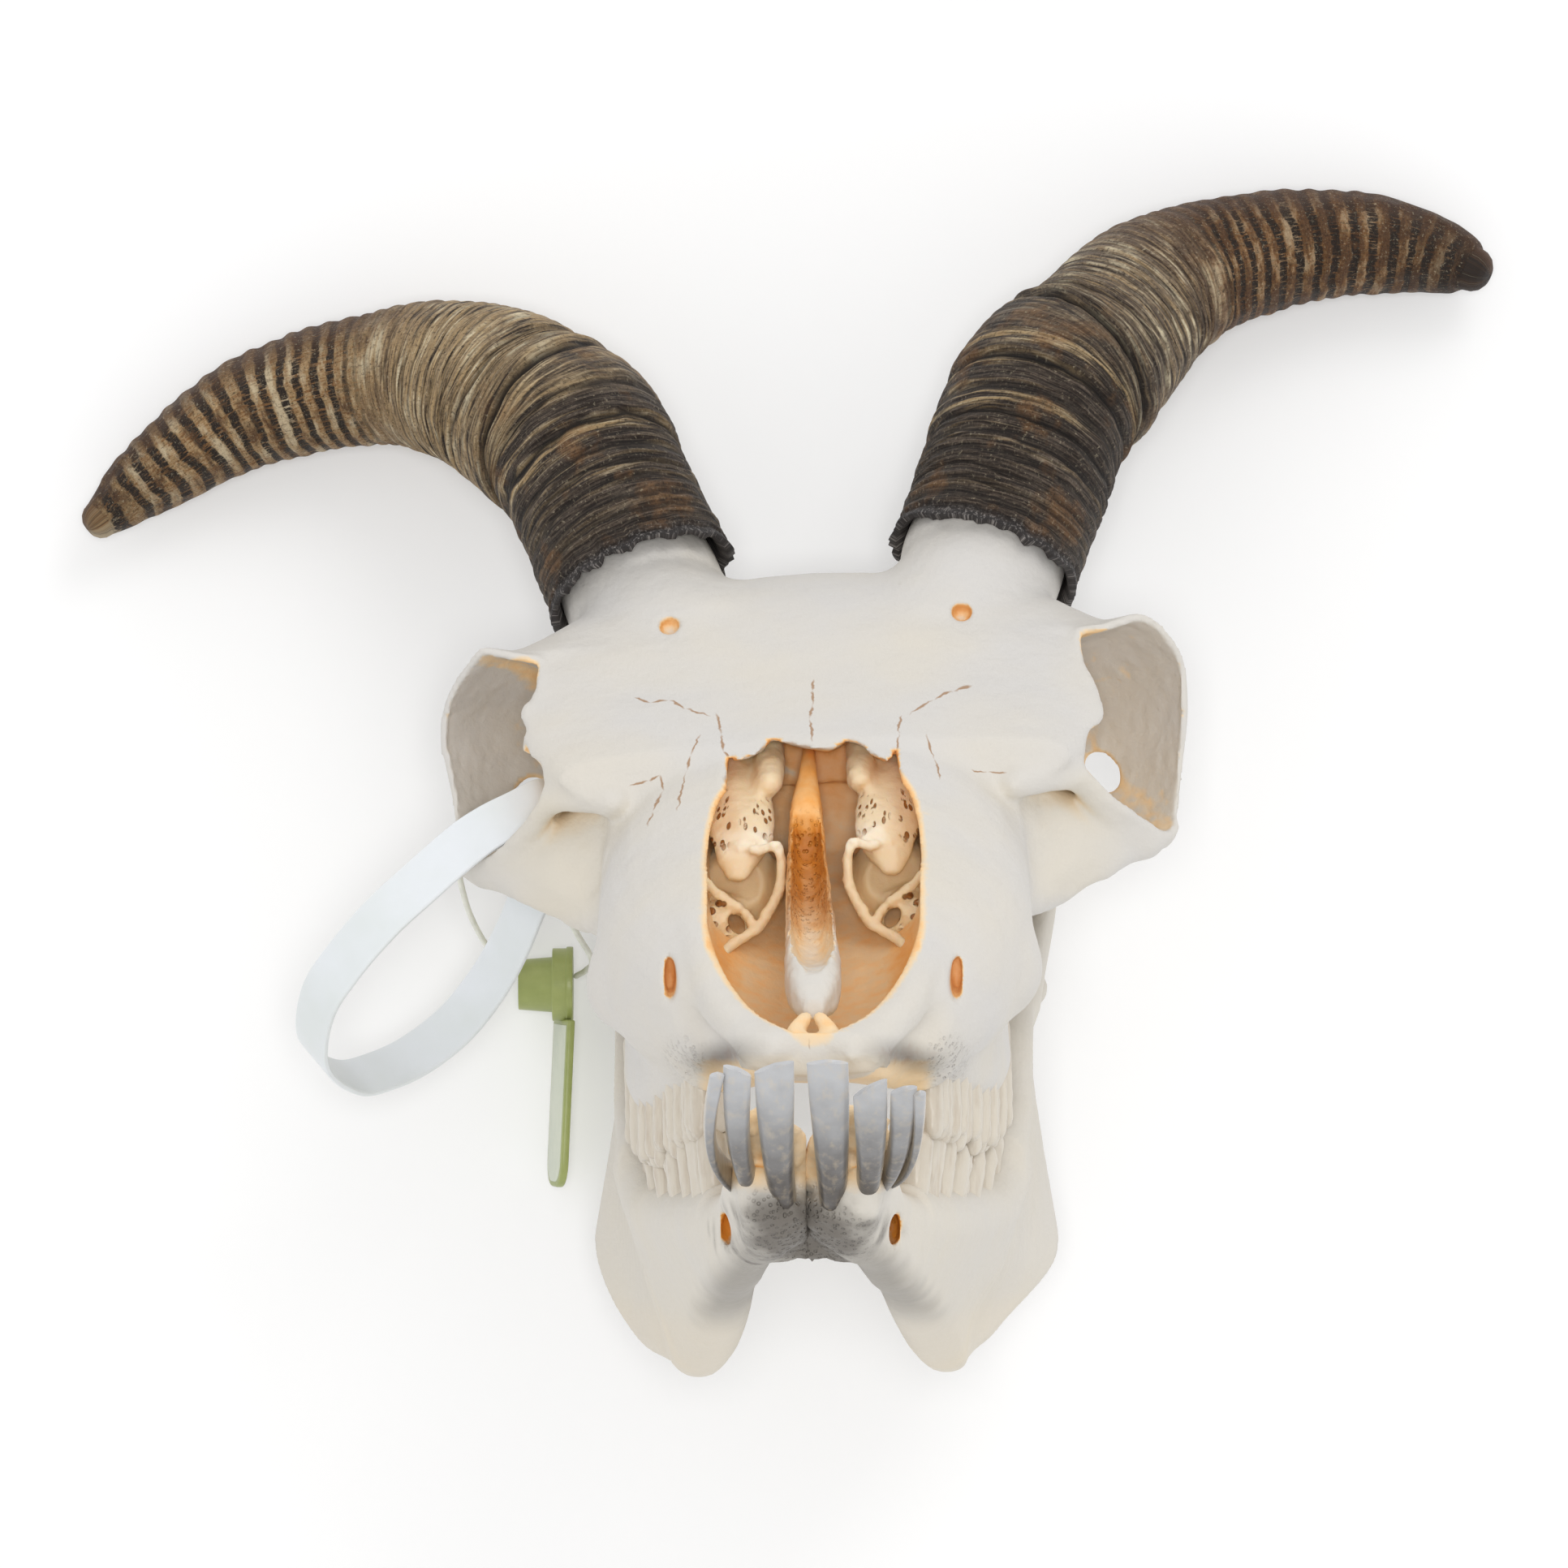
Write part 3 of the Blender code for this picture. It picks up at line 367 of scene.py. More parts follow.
class Clay:
    """A block of space that holds the distance to a surface, negative inside."""

    FAR = 14.0
    NEARLY = 0.999

    def __init__(self, low: Row, high: Row, voxel: float) -> None:
        """Make an empty block.

        Args:
            low: its lowest corner in mm.
            high: its highest corner in mm.
            voxel: its grain in mm.
        """
        self.voxel = voxel
        self.start = np.floor(np.array(low) / voxel).astype(int)
        size = np.ceil(np.array(high) / voxel).astype(int) - self.start
        self.field = np.full(size, self.FAR, np.float32)

    def _distances(self, form: Form, reach: float, rough: Rough | None) -> tuple:
        """The part of the block near a form, and the form's distances there.

        Args:
            form: the form.
            reach: how far from its surface the distances are exact.
            rough: its roughness, if any.

        Returns:
            The part's slices and its distances, or None twice where the form is outside.
        """
        points, triangles, quads = form.mesh()
        pad = reach + 2 * self.voxel
        low = np.floor((points.min(axis=0) - pad) / self.voxel).astype(int)
        high = np.ceil((points.max(axis=0) + pad) / self.voxel).astype(int)
        low = np.maximum(low, self.start)
        high = np.minimum(high, self.start + self.field.shape)
        if (high <= low).any():
            return None, None
        grid = level_set(points, self.voxel, reach / self.voxel + 1.0, triangles=triangles, quads=quads)
        block = np.empty(high - low, np.float32)
        grid.copyToArray(block, ijk=tuple(int(i) for i in low))
        block[block >= grid.background * self.NEARLY] = self.FAR
        block[block <= -grid.background * self.NEARLY] = -self.FAR
        if rough:
            near = np.argwhere(np.abs(block) < rough.depth * 2 + self.voxel * 2)
            places = (near + low) * self.voxel
            block[tuple(near.T)] += rough.depth * grit(places, rough.size, rough.seed)
        place = tuple(slice(a, b) for a, b in zip(low - self.start, high - self.start))
        return place, block

    def _work(self, form: Form, blend: float, rough: Rough | None, sign: int) -> None:
        """Ease a form into the clay, or out of it where sign is -1.

        Args:
            form: the form.
            blend: about how wide the joint is rounded.
            rough: the form's roughness, if any.
            sign: 1 to add and -1 to carve.
        """
        place, other = self._distances(form, 1.6 * blend + 1.5, rough)
        if place is None:
            return
        mine = sign * self.field[place]
        share = np.clip(0.5 + 0.5 * (other - mine) / blend, 0.0, 1.0)
        self.field[place] = sign * (other + (mine - other) * share - blend * share * (1 - share))

    def add(self, form: Form, blend: float = 2.0, rough: Rough | None = None) -> None:
        """Join a form to the clay, with a fillet about blend wide."""
        self._work(form, blend, rough, 1)

    def cut(self, form: Form, blend: float = 0.8, rough: Rough | None = None) -> None:
        """Carve a form out of the clay, with edges rounded by about blend."""
        self._work(form, blend, rough, -1)

    def sample(self, points: np.ndarray) -> np.ndarray:
        """The field's value at places in mm."""
        places = points / self.voxel - self.start
        low = np.clip(np.floor(places).astype(int), 0, np.array(self.field.shape) - 2)
        return corner_blend(self.field, low, np.clip(places - low, 0.0, 1.0))

    def skin(self) -> tuple[np.ndarray, np.ndarray, np.ndarray]:
        """Points, triangles and quads of the clay's surface.

        Returns:
            The points in mm, and point numbers for each face.
        """
        grid = vdb.FloatGrid(self.FAR)
        grid.transform = vdb.createLinearTransform(self.voxel)
        grid.copyFromArray(self.field, ijk=tuple(int(i) for i in self.start), tolerance=0.0)
        return grid.convertToPolygons(isovalue=0.0, adaptivity=0.0)


# --- Meshes and pieces ---------------------------------------------------------------
FEELERS = ((1.5, 0.22), (3.0, 0.26), (6.0, 0.28), (9.0, 0.24))  # length and weight


def deselect() -> None:
    """Leave nothing selected."""
    for obj in list(bpy.context.selected_objects):
        obj.select_set(False)


def make_active(obj: bpy.types.Object) -> None:
    """Select this object alone."""
    deselect()
    obj.select_set(True)
    bpy.context.view_layer.objects.active = obj


def link_object(name: str, data: bpy.types.ID) -> bpy.types.Object:
    """A new object in the scene that holds this data."""
    obj = bpy.data.objects.new(name, data)
    bpy.context.scene.collection.objects.link(obj)
    return obj


def apply_modifier(obj: bpy.types.Object, kind: str, **settings: object) -> None:
    """Add a modifier and apply it at once.

    Args:
        obj: the object.
        kind: the modifier's type.
        settings: values for the modifier.
    """
    make_active(obj)
    modifier = obj.modifiers.new(kind.lower(), kind)
    for name, value in settings.items():
        setattr(modifier, name, value)
    bpy.ops.object.modifier_apply(modifier=modifier.name)


def shade_smooth(obj: bpy.types.Object, degrees: float) -> None:
    """Shade an object smooth, apart from edges sharper than this."""
    make_active(obj)
    bpy.ops.object.shade_smooth_by_angle(angle=math.radians(degrees))


def soften(obj: bpy.types.Object, width: float, degrees: float) -> None:
    """Round the edges sharper than this, and shade the object smooth."""
    apply_modifier(obj, "BEVEL", width=width, segments=3, limit_method="ANGLE",
                   angle_limit=math.radians(degrees))
    shade_smooth(obj, 35)


def turn_faces_out(obj: bpy.types.Object) -> None:
    """Turn every face of a closed object outwards.

    Args:
        obj: the closed object.
    """
    make_active(obj)
    bpy.ops.object.mode_set(mode="EDIT")
    bpy.ops.mesh.select_all(action="SELECT")
    bpy.ops.mesh.normals_make_consistent(inside=False)
    bpy.ops.object.mode_set(mode="OBJECT")


def largest_part(count: int, faces: np.ndarray) -> np.ndarray:
    """Which points belong to the largest connected piece.

    Args:
        count: how many points there are.
        faces: point numbers, one face a row.

    Returns:
        True for each point of that piece.
    """
    label = np.arange(count)
    while True:
        least = label[faces].min(axis=1)
        new = label.copy()
        for k in range(faces.shape[1]):
            np.minimum.at(new, faces[:, k], least)
        new = new[new]
        if (new == label).all():
            break
        label = new
    values, sizes = np.unique(label, return_counts=True)
    return label == values[sizes.argmax()]


def object_from(name: str, points: np.ndarray, *face_sets: np.ndarray) -> bpy.types.Object:
    """An object with this mesh, whose points are in mm in the skull's frame.

    Args:
        name: the object's name.
        points: its points.
        face_sets: arrays of faces, each with one number of corners.

    Returns:
        The new object, at the origin.
    """
    mesh = bpy.data.meshes.new(name)
    mesh.vertices.add(len(points))
    mesh.vertices.foreach_set("co", ((points + FRAME_SHIFT) * MM).astype(np.float32).ravel())
    corners = np.concatenate([faces.ravel() for faces in face_sets])
    totals = np.concatenate([np.full(len(f), f.shape[1]) for f in face_sets])
    starts = np.concatenate([[0], np.cumsum(totals)[:-1]])
    mesh.loops.add(len(corners))
    mesh.loops.foreach_set("vertex_index", corners.astype(np.int32))
    mesh.polygons.add(len(totals))
    mesh.polygons.foreach_set("loop_start", starts.astype(np.int32))
    mesh.update(calc_edges=True)
    mesh.validate()
    return link_object(name, mesh)


def rows_in(data: bpy.types.bpy_prop_collection, name: str, kind: type = np.float32) -> np.ndarray:
    """Three numbers a row from a mesh's points, normals or triangles."""
    flat = np.empty(len(data) * 3, kind)
    data.foreach_get(name, flat)
    return flat.reshape(-1, 3)


def points_of(obj: bpy.types.Object) -> np.ndarray:
    """The object's points in mm in the skull's frame."""
    return rows_in(obj.data.vertices, "co").astype(float) / MM - FRAME_SHIFT


def normals_of(obj: bpy.types.Object) -> np.ndarray:
    """The object's point normals."""
    return rows_in(obj.data.vertex_normals, "vector")


def set_points(obj: bpy.types.Object, points: np.ndarray) -> None:
    """Write the object's points, given in mm in the skull's frame."""
    flat = ((points + FRAME_SHIFT) * MM).astype(np.float32).ravel()
    obj.data.vertices.foreach_set("co", flat)
    obj.data.update()


def set_values(obj: bpy.types.Object, **named: np.ndarray) -> None:
    """Store numbers from 0 to 1, one a point, for a material to read."""
    for name, values in named.items():
        layer = obj.data.attributes.new(name, "FLOAT", "POINT")
        layer.data.foreach_set("value", np.clip(values, 0, 1).astype(np.float32))


def set_vectors(obj: bpy.types.Object, name: str, values: np.ndarray) -> None:
    """Store one vector a point, for a material to read."""
    layer = obj.data.attributes.new(name, "FLOAT_VECTOR", "POINT")
    layer.data.foreach_set("vector", values.astype(np.float32).ravel())


def skin_object(name: str, clay: Clay, triangles: int, whole: bool = False) -> bpy.types.Object:
    """Turn clay into an object of about this many triangles.

    Args:
        name: the object's name.
        clay: the finished clay.
        triangles: the most triangles wanted.
        whole: whether to keep parts that stand apart from the largest one.

    Returns:
        The object, smooth shaded and closed.
    """
    points, tris, quads = clay.skin()
    points = points.astype(float)
    faces = np.vstack([tris.reshape(-1, 3), quads[:, [0, 1, 2]], quads[:, [0, 2, 3]]]).astype(np.int64)
    if not whole:
        faces = faces[largest_part(len(points), faces)[faces[:, 0]]]
    used, faces = np.unique(faces, return_inverse=True)
    faces = faces.reshape(-1, 3)
    points = points[used]
    a, b, c = (points[faces[:, k]] for k in range(3))
    if np.einsum("ij,ij->i", a, np.cross(b, c)).sum() < 0:
        faces = faces[:, ::-1]
    obj = object_from(name, points, faces)
    if len(faces) > triangles:
        apply_modifier(obj, "DECIMATE", ratio=triangles / len(faces))
    obj.data.shade_smooth()
    return obj


def put_on_side(obj: bpy.types.Object, side: Side,
                move: Callable[[np.ndarray], np.ndarray]) -> np.ndarray:
    """Carry an object modelled on the animal's left to its own side.

    Args:
        obj: the object.
        side: the side it belongs on.
        move: the rule that leans or turns its points once they are there.

    Returns:
        The points on that side, before the move.
    """
    points = points_of(obj)
    points[:, 0] *= side.value
    if side is Side.RIGHT:
        obj.data.flip_normals()
    set_points(obj, move(points))
    return points


def hidden_share(obj: bpy.types.Object, grain: float = 1.0) -> np.ndarray:
    """How shut in each point is, from 0 in the open to 1 in a deep crevice.

    Args:
        obj: a closed object.
        grain: the voxel used for measuring, in mm.

    Returns:
        One value a point.
    """
    points, normals = points_of(obj), normals_of(obj)
    obj.data.calc_loop_triangles()
    faces = rows_in(obj.data.loop_triangles, "vertices", np.int32)
    clay = Clay(points.min(axis=0) - 12, points.max(axis=0) + 12, grain)
    grid = level_set(points, grain, FEELERS[-1][0] / grain, triangles=faces)
    grid.copyToArray(clay.field, ijk=tuple(int(i) for i in clay.start))
    total = np.zeros(len(points))
    for ahead, weight in FEELERS:
        open_way = clay.sample(points + normals * ahead)
        total += weight * np.clip((ahead - open_way) / ahead, 0, 1)
    return total


def nearness(form: Form, points: np.ndarray, reach: float) -> np.ndarray:
    """One inside a form, falling to nothing reach millimetres outside it.

    Args:
        form: the form.
        points: the places to measure.
        reach: how far outside it counts, in mm.

    Returns:
        A value from 0 to 1 for each place.
    """
    corners = form.rings.reshape(-1, 3)
    field = Clay(corners.min(axis=0) - 3 * reach, corners.max(axis=0) + 3 * reach, 1.0)
    field.add(form, reach)
    return 1 - smoothstep(field.sample(points), 0.4 * reach, reach)


# --- Finishes ------------------------------------------------------------------
Socket = bpy.types.NodeSocket


class Recipe:
    """A material being wired, with short calls for its usual nodes."""

    def __init__(self, name: str, **surface: float | Row) -> None:
        """Start a material.

        Args:
            name: the material's name.
            surface: values for the surface shader's inputs, with _ for each space in their names.
        """
        self.material = bpy.data.materials.new(name)
        self.material.use_nodes = True
        self.nodes = self.material.node_tree.nodes
        self.links = self.material.node_tree.links
        self.shader = self.nodes["Principled BSDF"]
        for key, value in surface.items():
            self.shader.inputs[key.replace("_", " ")].default_value = value

    def node(self, kind: str, inputs: dict | None = None, **settings: object) -> bpy.types.Node:
        """A new node.

        Args:
            kind: the node's type.
            inputs: an output to link or a plain value for each input named or numbered.
            settings: values for the node's own properties.

        Returns:
            The node.
        """
        node = self.nodes.new(kind)
        for key, value in settings.items():
            setattr(node, key, value)
        for key, value in (inputs or {}).items():
            if isinstance(value, Socket):
                self.links.new(value, node.inputs[key])
            else:
                node.inputs[key].default_value = value
        return node

    def place(self, scale: Row = (1.0, 1.0, 1.0)) -> Socket:
        """Object coordinates in millimetres, stretched by scale."""
        here = self.node("ShaderNodeTexCoord").outputs["Object"]
        stretch = tuple(s / MM for s in scale)
        return self.node("ShaderNodeMapping", {"Vector": here, "Scale": stretch}).outputs["Vector"]

    def noise(self, vector: Socket, size: float, detail: float = 4.0, rough: float = 0.55) -> Socket:
        """Cloudy noise whose clouds are about size across."""
        inputs = {"Vector": vector, "Scale": 1.0 / size, "Detail": detail, "Roughness": rough}
        return self.node("ShaderNodeTexNoise", inputs).outputs["Fac"]

    def cells(self, vector: Socket, size: float) -> Socket:
        """Distance to the nearest of scattered points, size apart."""
        return self.node("ShaderNodeTexVoronoi", {"Vector": vector, "Scale": 1.0 / size}).outputs["Distance"]

    def value_of(self, name: str) -> Socket:
        """The piece's stored number of this name."""
        return self.node("ShaderNodeAttribute", attribute_name=name).outputs["Fac"]

    def vector_of(self, name: str) -> Socket:
        """The piece's stored vector of this name."""
        return self.node("ShaderNodeAttribute", attribute_name=name).outputs["Vector"]

    def ramp(self, value: Socket, low: float, high: float, start: float = 0.0, end: float = 1.0) -> Socket:
        """A straight ramp of value, from start at low to end at high."""
        inputs = {"Value": value, "From Min": low, "From Max": high, "To Min": start, "To Max": end}
        return self.node("ShaderNodeMapRange", inputs).outputs["Result"]

    def math(self, kind: str, first: Socket, second: Socket | float) -> Socket:
        """Two numbers put together."""
        return self.node("ShaderNodeMath", {0: first, 1: second}, operation=kind).outputs["Value"]

    def product(self, first: Socket, *others: Socket | float) -> Socket:
        """Numbers multiplied together."""
        for other in others:
            first = self.math("MULTIPLY", first, other)
        return first

    def grainy(self, name: str, grain: Socket, depth: float) -> Socket:
        """A stored number made uneven by noise, up to depth either way."""
        return self.math("ADD", self.value_of(name), self.ramp(grain, 0.2, 0.8, -depth, depth))

    def vector(self, kind: str, *values: Socket | Row) -> Socket:
        """Vectors put together."""
        return self.node("ShaderNodeVectorMath", dict(enumerate(values)), operation=kind).outputs["Vector"]

    def mix(self, share: Socket, first: Socket | Row, second: Socket | Row) -> Socket:
        """Two colours mixed by share."""
        inputs = {"Factor": share, "A": first, "B": second}
        return self.node("ShaderNodeMix", inputs, data_type="RGBA").outputs["Result"]

    def coats(self, base: Socket, *layers: tuple[Row, Socket, float, float, float]) -> Socket:
        """Lay colours over a base one by one.

        Args:
            base: the colour underneath.
            layers: each one's colour, the number that shows it, where that number starts to show it
                and where it shows it in full, and how strongly it then covers.

        Returns:
            The colour on top.
        """
        for colour, value, low, high, strength in layers:
            base = self.mix(self.ramp(value, low, high, 0.0, strength), base, colour)
        return base

    def bump(self, height: Socket, depth: float) -> None:
        """Relief depth millimetres deep, on top of any made before.

        Args:
            height: the number that gives the relief.
            depth: the relief's depth in mm.
        """
        node = self.node("ShaderNodeBump", {"Distance": depth * MM, "Strength": 1.0, "Height": height})
        before = self.shader.inputs["Normal"]
        if before.is_linked:
            self.links.new(before.links[0].from_socket, node.inputs["Normal"])
        self.links.new(node.outputs["Normal"], before)

    def finished(self, colour: Socket) -> bpy.types.Material:
        """The material, with this as its surface's colour."""
        self.links.new(colour, self.shader.inputs["Base Color"])
        return self.material


def rgb(red: int, green: int, blue: int) -> Row:
    """A display colour of 0 to 255 as the linear colour that a shader takes."""
    parts = [part / 255 for part in (red, green, blue)]
    return (*(p / 12.92 if p <= 0.04045 else ((p + 0.055) / 1.055) ** 2.4 for p in parts), 1.0)


@dataclass(frozen=True)
class BoneFinish:
    """Degreased and whitened bone: chalky, warm in its hollows, where painted shade and painted warm glow are
    laid in.
    """

    white: Row = rgb(207, 204, 200)
    cream: Row = rgb(216, 207, 188)
    # tan and orange lay real stain, and also painted shade and painted warm glow, into the nose and eye
    # sockets; brown and grey are mostly painted shade
    tan: Row = rgb(240, 206, 156)
    orange: Row = rgb(240, 160, 60)
    brown: Row = rgb(164, 98, 36)
    grey: Row = rgb(62, 53, 45)
    crack: Row = rgb(156, 116, 76)
    crack_strength: float = 0.85
    seam_wander: float = 1.3
    seam_offset: Row = (0.5, 0.65)
    seam_reach: float = 0.62
    seam_width: Row = (0.16, 0.26)

    def material(self) -> bpy.types.Material:
        """The bone material.

        Returns:
            A material that reads the cream, stain, dark, grey, pore and seam numbers, some of which carry
            painted shade and painted glow.
        """
        made = Recipe("bone", Roughness=0.52, Specular_IOR_Level=0.35)
        place = made.place()
        clouds = made.noise(place, 28.0, 3.0)
        fine = made.noise(place, 3.2, 5.0)
        grain = made.noise(made.place((1.0, 1.0, 0.22)), 1.1, 4.0)
        creamy, edge = made.value_of("cream"), made.grainy("stain", fine, 0.12)
        base = made.mix(made.ramp(clouds, 0.35, 0.75, 0.0, 0.5), self.white, self.cream)
        # Cream and tan where the bone is shut in are painted shade; tan and orange follow stain; brown and grey
        # paint shade into pits, holes and under the jaw.
        base = made.coats(
            made.mix(creamy, base, self.cream),
            (self.tan, creamy, 0.5, 1.0, 0.55),
            (self.tan, edge, 0.10, 0.50, 1.0),
            (self.orange, edge, 0.42, 0.85, 1.0),
            (self.brown, made.grainy("dark", fine, 0.2), 0.15, 0.95, 1.0),
            (self.grey, made.value_of("grey"), 0.0, 1.0, 0.85),
        )
        crack = made.product(self._seams(made, place), made.value_of("seam_share"), self.crack_strength)
        made.bump(clouds, 0.9)
        made.bump(made.noise(place, 9.0, 4.0), 0.55)
        made.bump(grain, 0.12)
        pores = made.ramp(made.cells(place, 0.95), 0.15, 0.40, 1.0, 0.0)
        made.bump(made.product(made.value_of("pore"), pores), -0.35)
        return made.finished(made.mix(crack, base, self.crack))

    def _seams(self, made: Recipe, place: Socket) -> Socket:
        """How strongly a crack or bone joint of the face shows at a place.

        Args:
            made: the material being wired.
            place: object coordinates in mm.

        Returns:
            A number from 0 to 1.
        """
        wander = made.node("ShaderNodeTexNoise", {"Vector": place, "Scale": 0.45}).outputs["Color"]
        wavy = made.vector("MULTIPLY_ADD", wander, (self.seam_wander, self.seam_wander, 0.0), place)
        offset = FRAME_SHIFT[:2] + self.seam_offset
        thin, thicker = self.seam_width
        shown = None
        for weight, line in SEAMS:
            for start, end in zip(line[:-1], line[1:]):
                way = np.array(end) - start
                x, y = (np.array(start) + end) / 2
                stretch = made.node("ShaderNodeMapping", {
                    "Vector": wavy,
                    "Location": (x + offset[0], y + SKEW * x + offset[1], 0.0),
                    "Rotation": (0.0, 0.0, math.atan2(way[1] + SKEW * way[0], way[0])),
                    "Scale": (self.seam_reach * float(np.hypot(*way)), thin + thicker * weight, 1e5),
                }, vector_type="TEXTURE")
                mark = made.node("ShaderNodeTexGradient", {"Vector": stretch.outputs["Vector"]},
                                 gradient_type="SPHERICAL").outputs["Fac"]
                shown = made.math("MAXIMUM", mark, shown) if shown else mark
        return made.ramp(shown, 0.15, 0.6)


@dataclass(frozen=True)
class ConchaFinish:
    """Thin nose bone: translucent tan with pale rims and torn slits."""

    pale: Row = rgb(240, 228, 204)
    tan: Row = rgb(226, 194, 140)
    amber: Row = rgb(216, 150, 70)
    slit: Row = rgb(150, 96, 40)

    def material(self) -> bpy.types.Material:
        """The nose bone material.

        Returns:
            A material that reads the cream, stain and slit numbers.
        """
        made = Recipe("nose_bone", Roughness=0.5, Subsurface_Weight=0.25,
                      Subsurface_Radius=(0.004, 0.0022, 0.001), Subsurface_Scale=0.6)
        place = made.place()
        fine = made.noise(place, 2.5, 4.0)
        base = made.mix(made.value_of("cream"), self.pale, self.tan)
        # Amber where stain is high, which is partly painted shade.
        base = made.coats(base, (self.amber, made.grainy("stain", fine, 0.15), 0.25, 0.8, 1.0))
        torn = made.ramp(made.cells(made.vector_of("fan"), 0.8), 0.30, 0.38, 1.0, 0.0)
        patch = made.ramp(made.noise(place, 2.4, 2.0), 0.36, 0.46)
        holes = made.product(torn, patch, made.value_of("slit"))
        made.bump(holes, -0.6)
        made.bump(fine, 0.25)
        return made.finished(made.mix(holes, base, self.slit))


@dataclass(frozen=True)
class HornFinish:
    """Weathered horn: dark ringed base, tan middle, blotched end."""

    name: str
    dusk: float = 0.0
    bright: float = 0.0
    charcoal: Row = rgb(50, 46, 45)
    fleck: Row = rgb(150, 144, 140)
    taupe: Row = rgb(104, 91, 79)
    sepia: Row = rgb(36, 25, 17)
    tan: Row = rgb(182, 154, 112)
    pale: Row = rgb(222, 208, 176)
    rust: Row = rgb(134, 94, 54)
    bark: Row = rgb(78, 50, 28)
    # near-black painted shade for the ring grooves
    groove: Row = rgb(20, 16, 14)

    def material(self) -> bpy.types.Material:
        """The horn material.

        Returns:
            A material that reads the straight place and the along, groove, row and keel numbers.
        """
        made = Recipe(self.name, Roughness=0.6, Specular_IOR_Level=0.3)
        dusk, bright = self.dusk, self.bright
        straight = made.vector_of("straight")

        def stretched(*scale: float, detail: float = 4.0, rough: float = 0.6) -> Socket:
            """Noise over the straightened place, stretched."""
            return made.noise(made.vector("MULTIPLY", straight, scale), 1.0, detail, rough)

        along = made.value_of("along")
        hair = stretched(3.4, 0.12, 0.12, detail=5.0, rough=0.7)
        line = stretched(1.3, 0.07, 0.07)
        band = stretched(0.24, 0.02, 0.02, detail=2.5)
        fibre = stretched(0.25, 2.6, 2.6, detail=3.0)
        cloud = stretched(0.1, 0.1, 0.1)
        patch = stretched(0.32, 0.14, 0.14)
        speck = stretched(1.8, 1.8, 1.8, rough=0.75)

        light = made.product(made.ramp(band, 0.50 - 0.06 * bright, 0.62 - 0.06 * bright),
                             made.ramp(line, 0.46, 0.58, 0.0, 0.85), made.ramp(along, 0.05, 0.16, 0.15, 1.0))
        base = made.mix(made.ramp(hair, 0.44, 0.62), self.sepia, self.taupe)
        base = made.mix(light, base, self.tan)
        base = made.mix(made.product(light, made.ramp(hair, 0.52, 0.64)), base, self.pale)
        base = made.coats(base, (self.rust, cloud, 0.52, 0.64, 0.5))

        middle = made.mix(made.ramp(hair, 0.36 + 0.18 * dusk, 0.56 + 0.2 * dusk), self.taupe, self.tan)
        streak = made.product(made.ramp(line, 0.50, 0.6), made.ramp(patch, 0.44, 0.6))
        middle = made.coats(made.mix(streak, middle, self.pale),
                            (self.sepia, line, 0.46, 0.36, 1.0), (self.sepia, hair, 0.42, 0.34, 1.0))

        rows = made.product(made.value_of("row"), made.ramp(patch, 0.28, 0.44),
                            made.ramp(fibre, 0.36, 0.50, 0.15, 1.0), made.ramp(speck, 0.35, 0.55, 0.35, 1.0))
        end = made.coats(
            made.mix(made.ramp(fibre, 0.36 + 0.2 * dusk, 0.6 + 0.24 * dusk), self.rust, self.tan),
            (self.pale, patch, 0.52, 0.64, 0.3 + 0.3 * bright),
            (self.bark, fibre, 0.56, 0.66, 0.6),
            (self.bark, patch, 0.48 + 0.14 * dusk, 0.36 + 0.14 * dusk, 0.85),
            (self.sepia, rows, 0.15, 0.6, 1.0),
            (self.sepia, along, 0.84, 1.0, 0.4 + 0.5 * dusk),
        )

        colour = made.mix(made.ramp(along, 0.20 + 0.1 * dusk, 0.34 + 0.1 * dusk), base, middle)
        colour = made.mix(made.ramp(along, 0.46, 0.60), colour, end)
        keel = made.product(made.value_of("keel"), made.ramp(fibre, 0.25, 0.6, 0.4, 1.0), 0.9)
        colour = made.coats(made.mix(keel, colour, self.bark),
                            (self.sepia, speck, 0.46, 0.36, 0.7), (self.pale, speck, 0.58, 0.70, 0.45))
        # The ring grooves are painted near-black: painted shade in the creases between ridges.
        furrow = made.product(made.value_of("groove"), made.ramp(speck, 0.2, 0.5, 0.6, 1.0))
        lip = made.mix(made.ramp(speck, 0.52, 0.66), self.charcoal, self.fleck)
        colour = made.mix(furrow, colour, self.groove)
        for height, depth in ((hair, 0.40), (line, 0.35), (fibre, 0.20), (speck, 0.28)):
            made.bump(height, depth)
        return made.finished(made.mix(made.ramp(along, 0.006, 0.022, 1.0, 0.0), colour, lip))


@dataclass(frozen=True)
class ToothFinish:
    """Tooth enamel over a warmer root, with fine upright lines; the line colour in crevices and the darker feet
    of the front teeth are partly painted shade.
    """

    name: str
    crown: Row
    root: Row
    line: Row
    roughness: float = 0.34

    def material(self) -> bpy.types.Material:
        """The tooth material.

        Returns:
            A material that reads the root and stain numbers.
        """
        made = Recipe(self.name, Roughness=self.roughness)
        fine = made.noise(made.place((1.0, 0.12, 1.0)), 1.3, 4.0)
        cloud = made.noise(made.place(), 5.0, 3.0)
        # The root share darkens the front teeth towards their feet, part root colour and part painted shade;
        # stain lays the line colour into the cheek teeth's crevices as painted shade.
        base = made.coats(made.mix(made.grainy("root", cloud, 0.15), self.crown, self.root),
                          (self.line, fine, 0.5, 0.8, 0.35), (self.line, made.value_of("stain"), 0.2, 1.0, 0.9))
        made.bump(fine, 0.12)
        made.bump(cloud, 0.25)
        return made.finished(base)


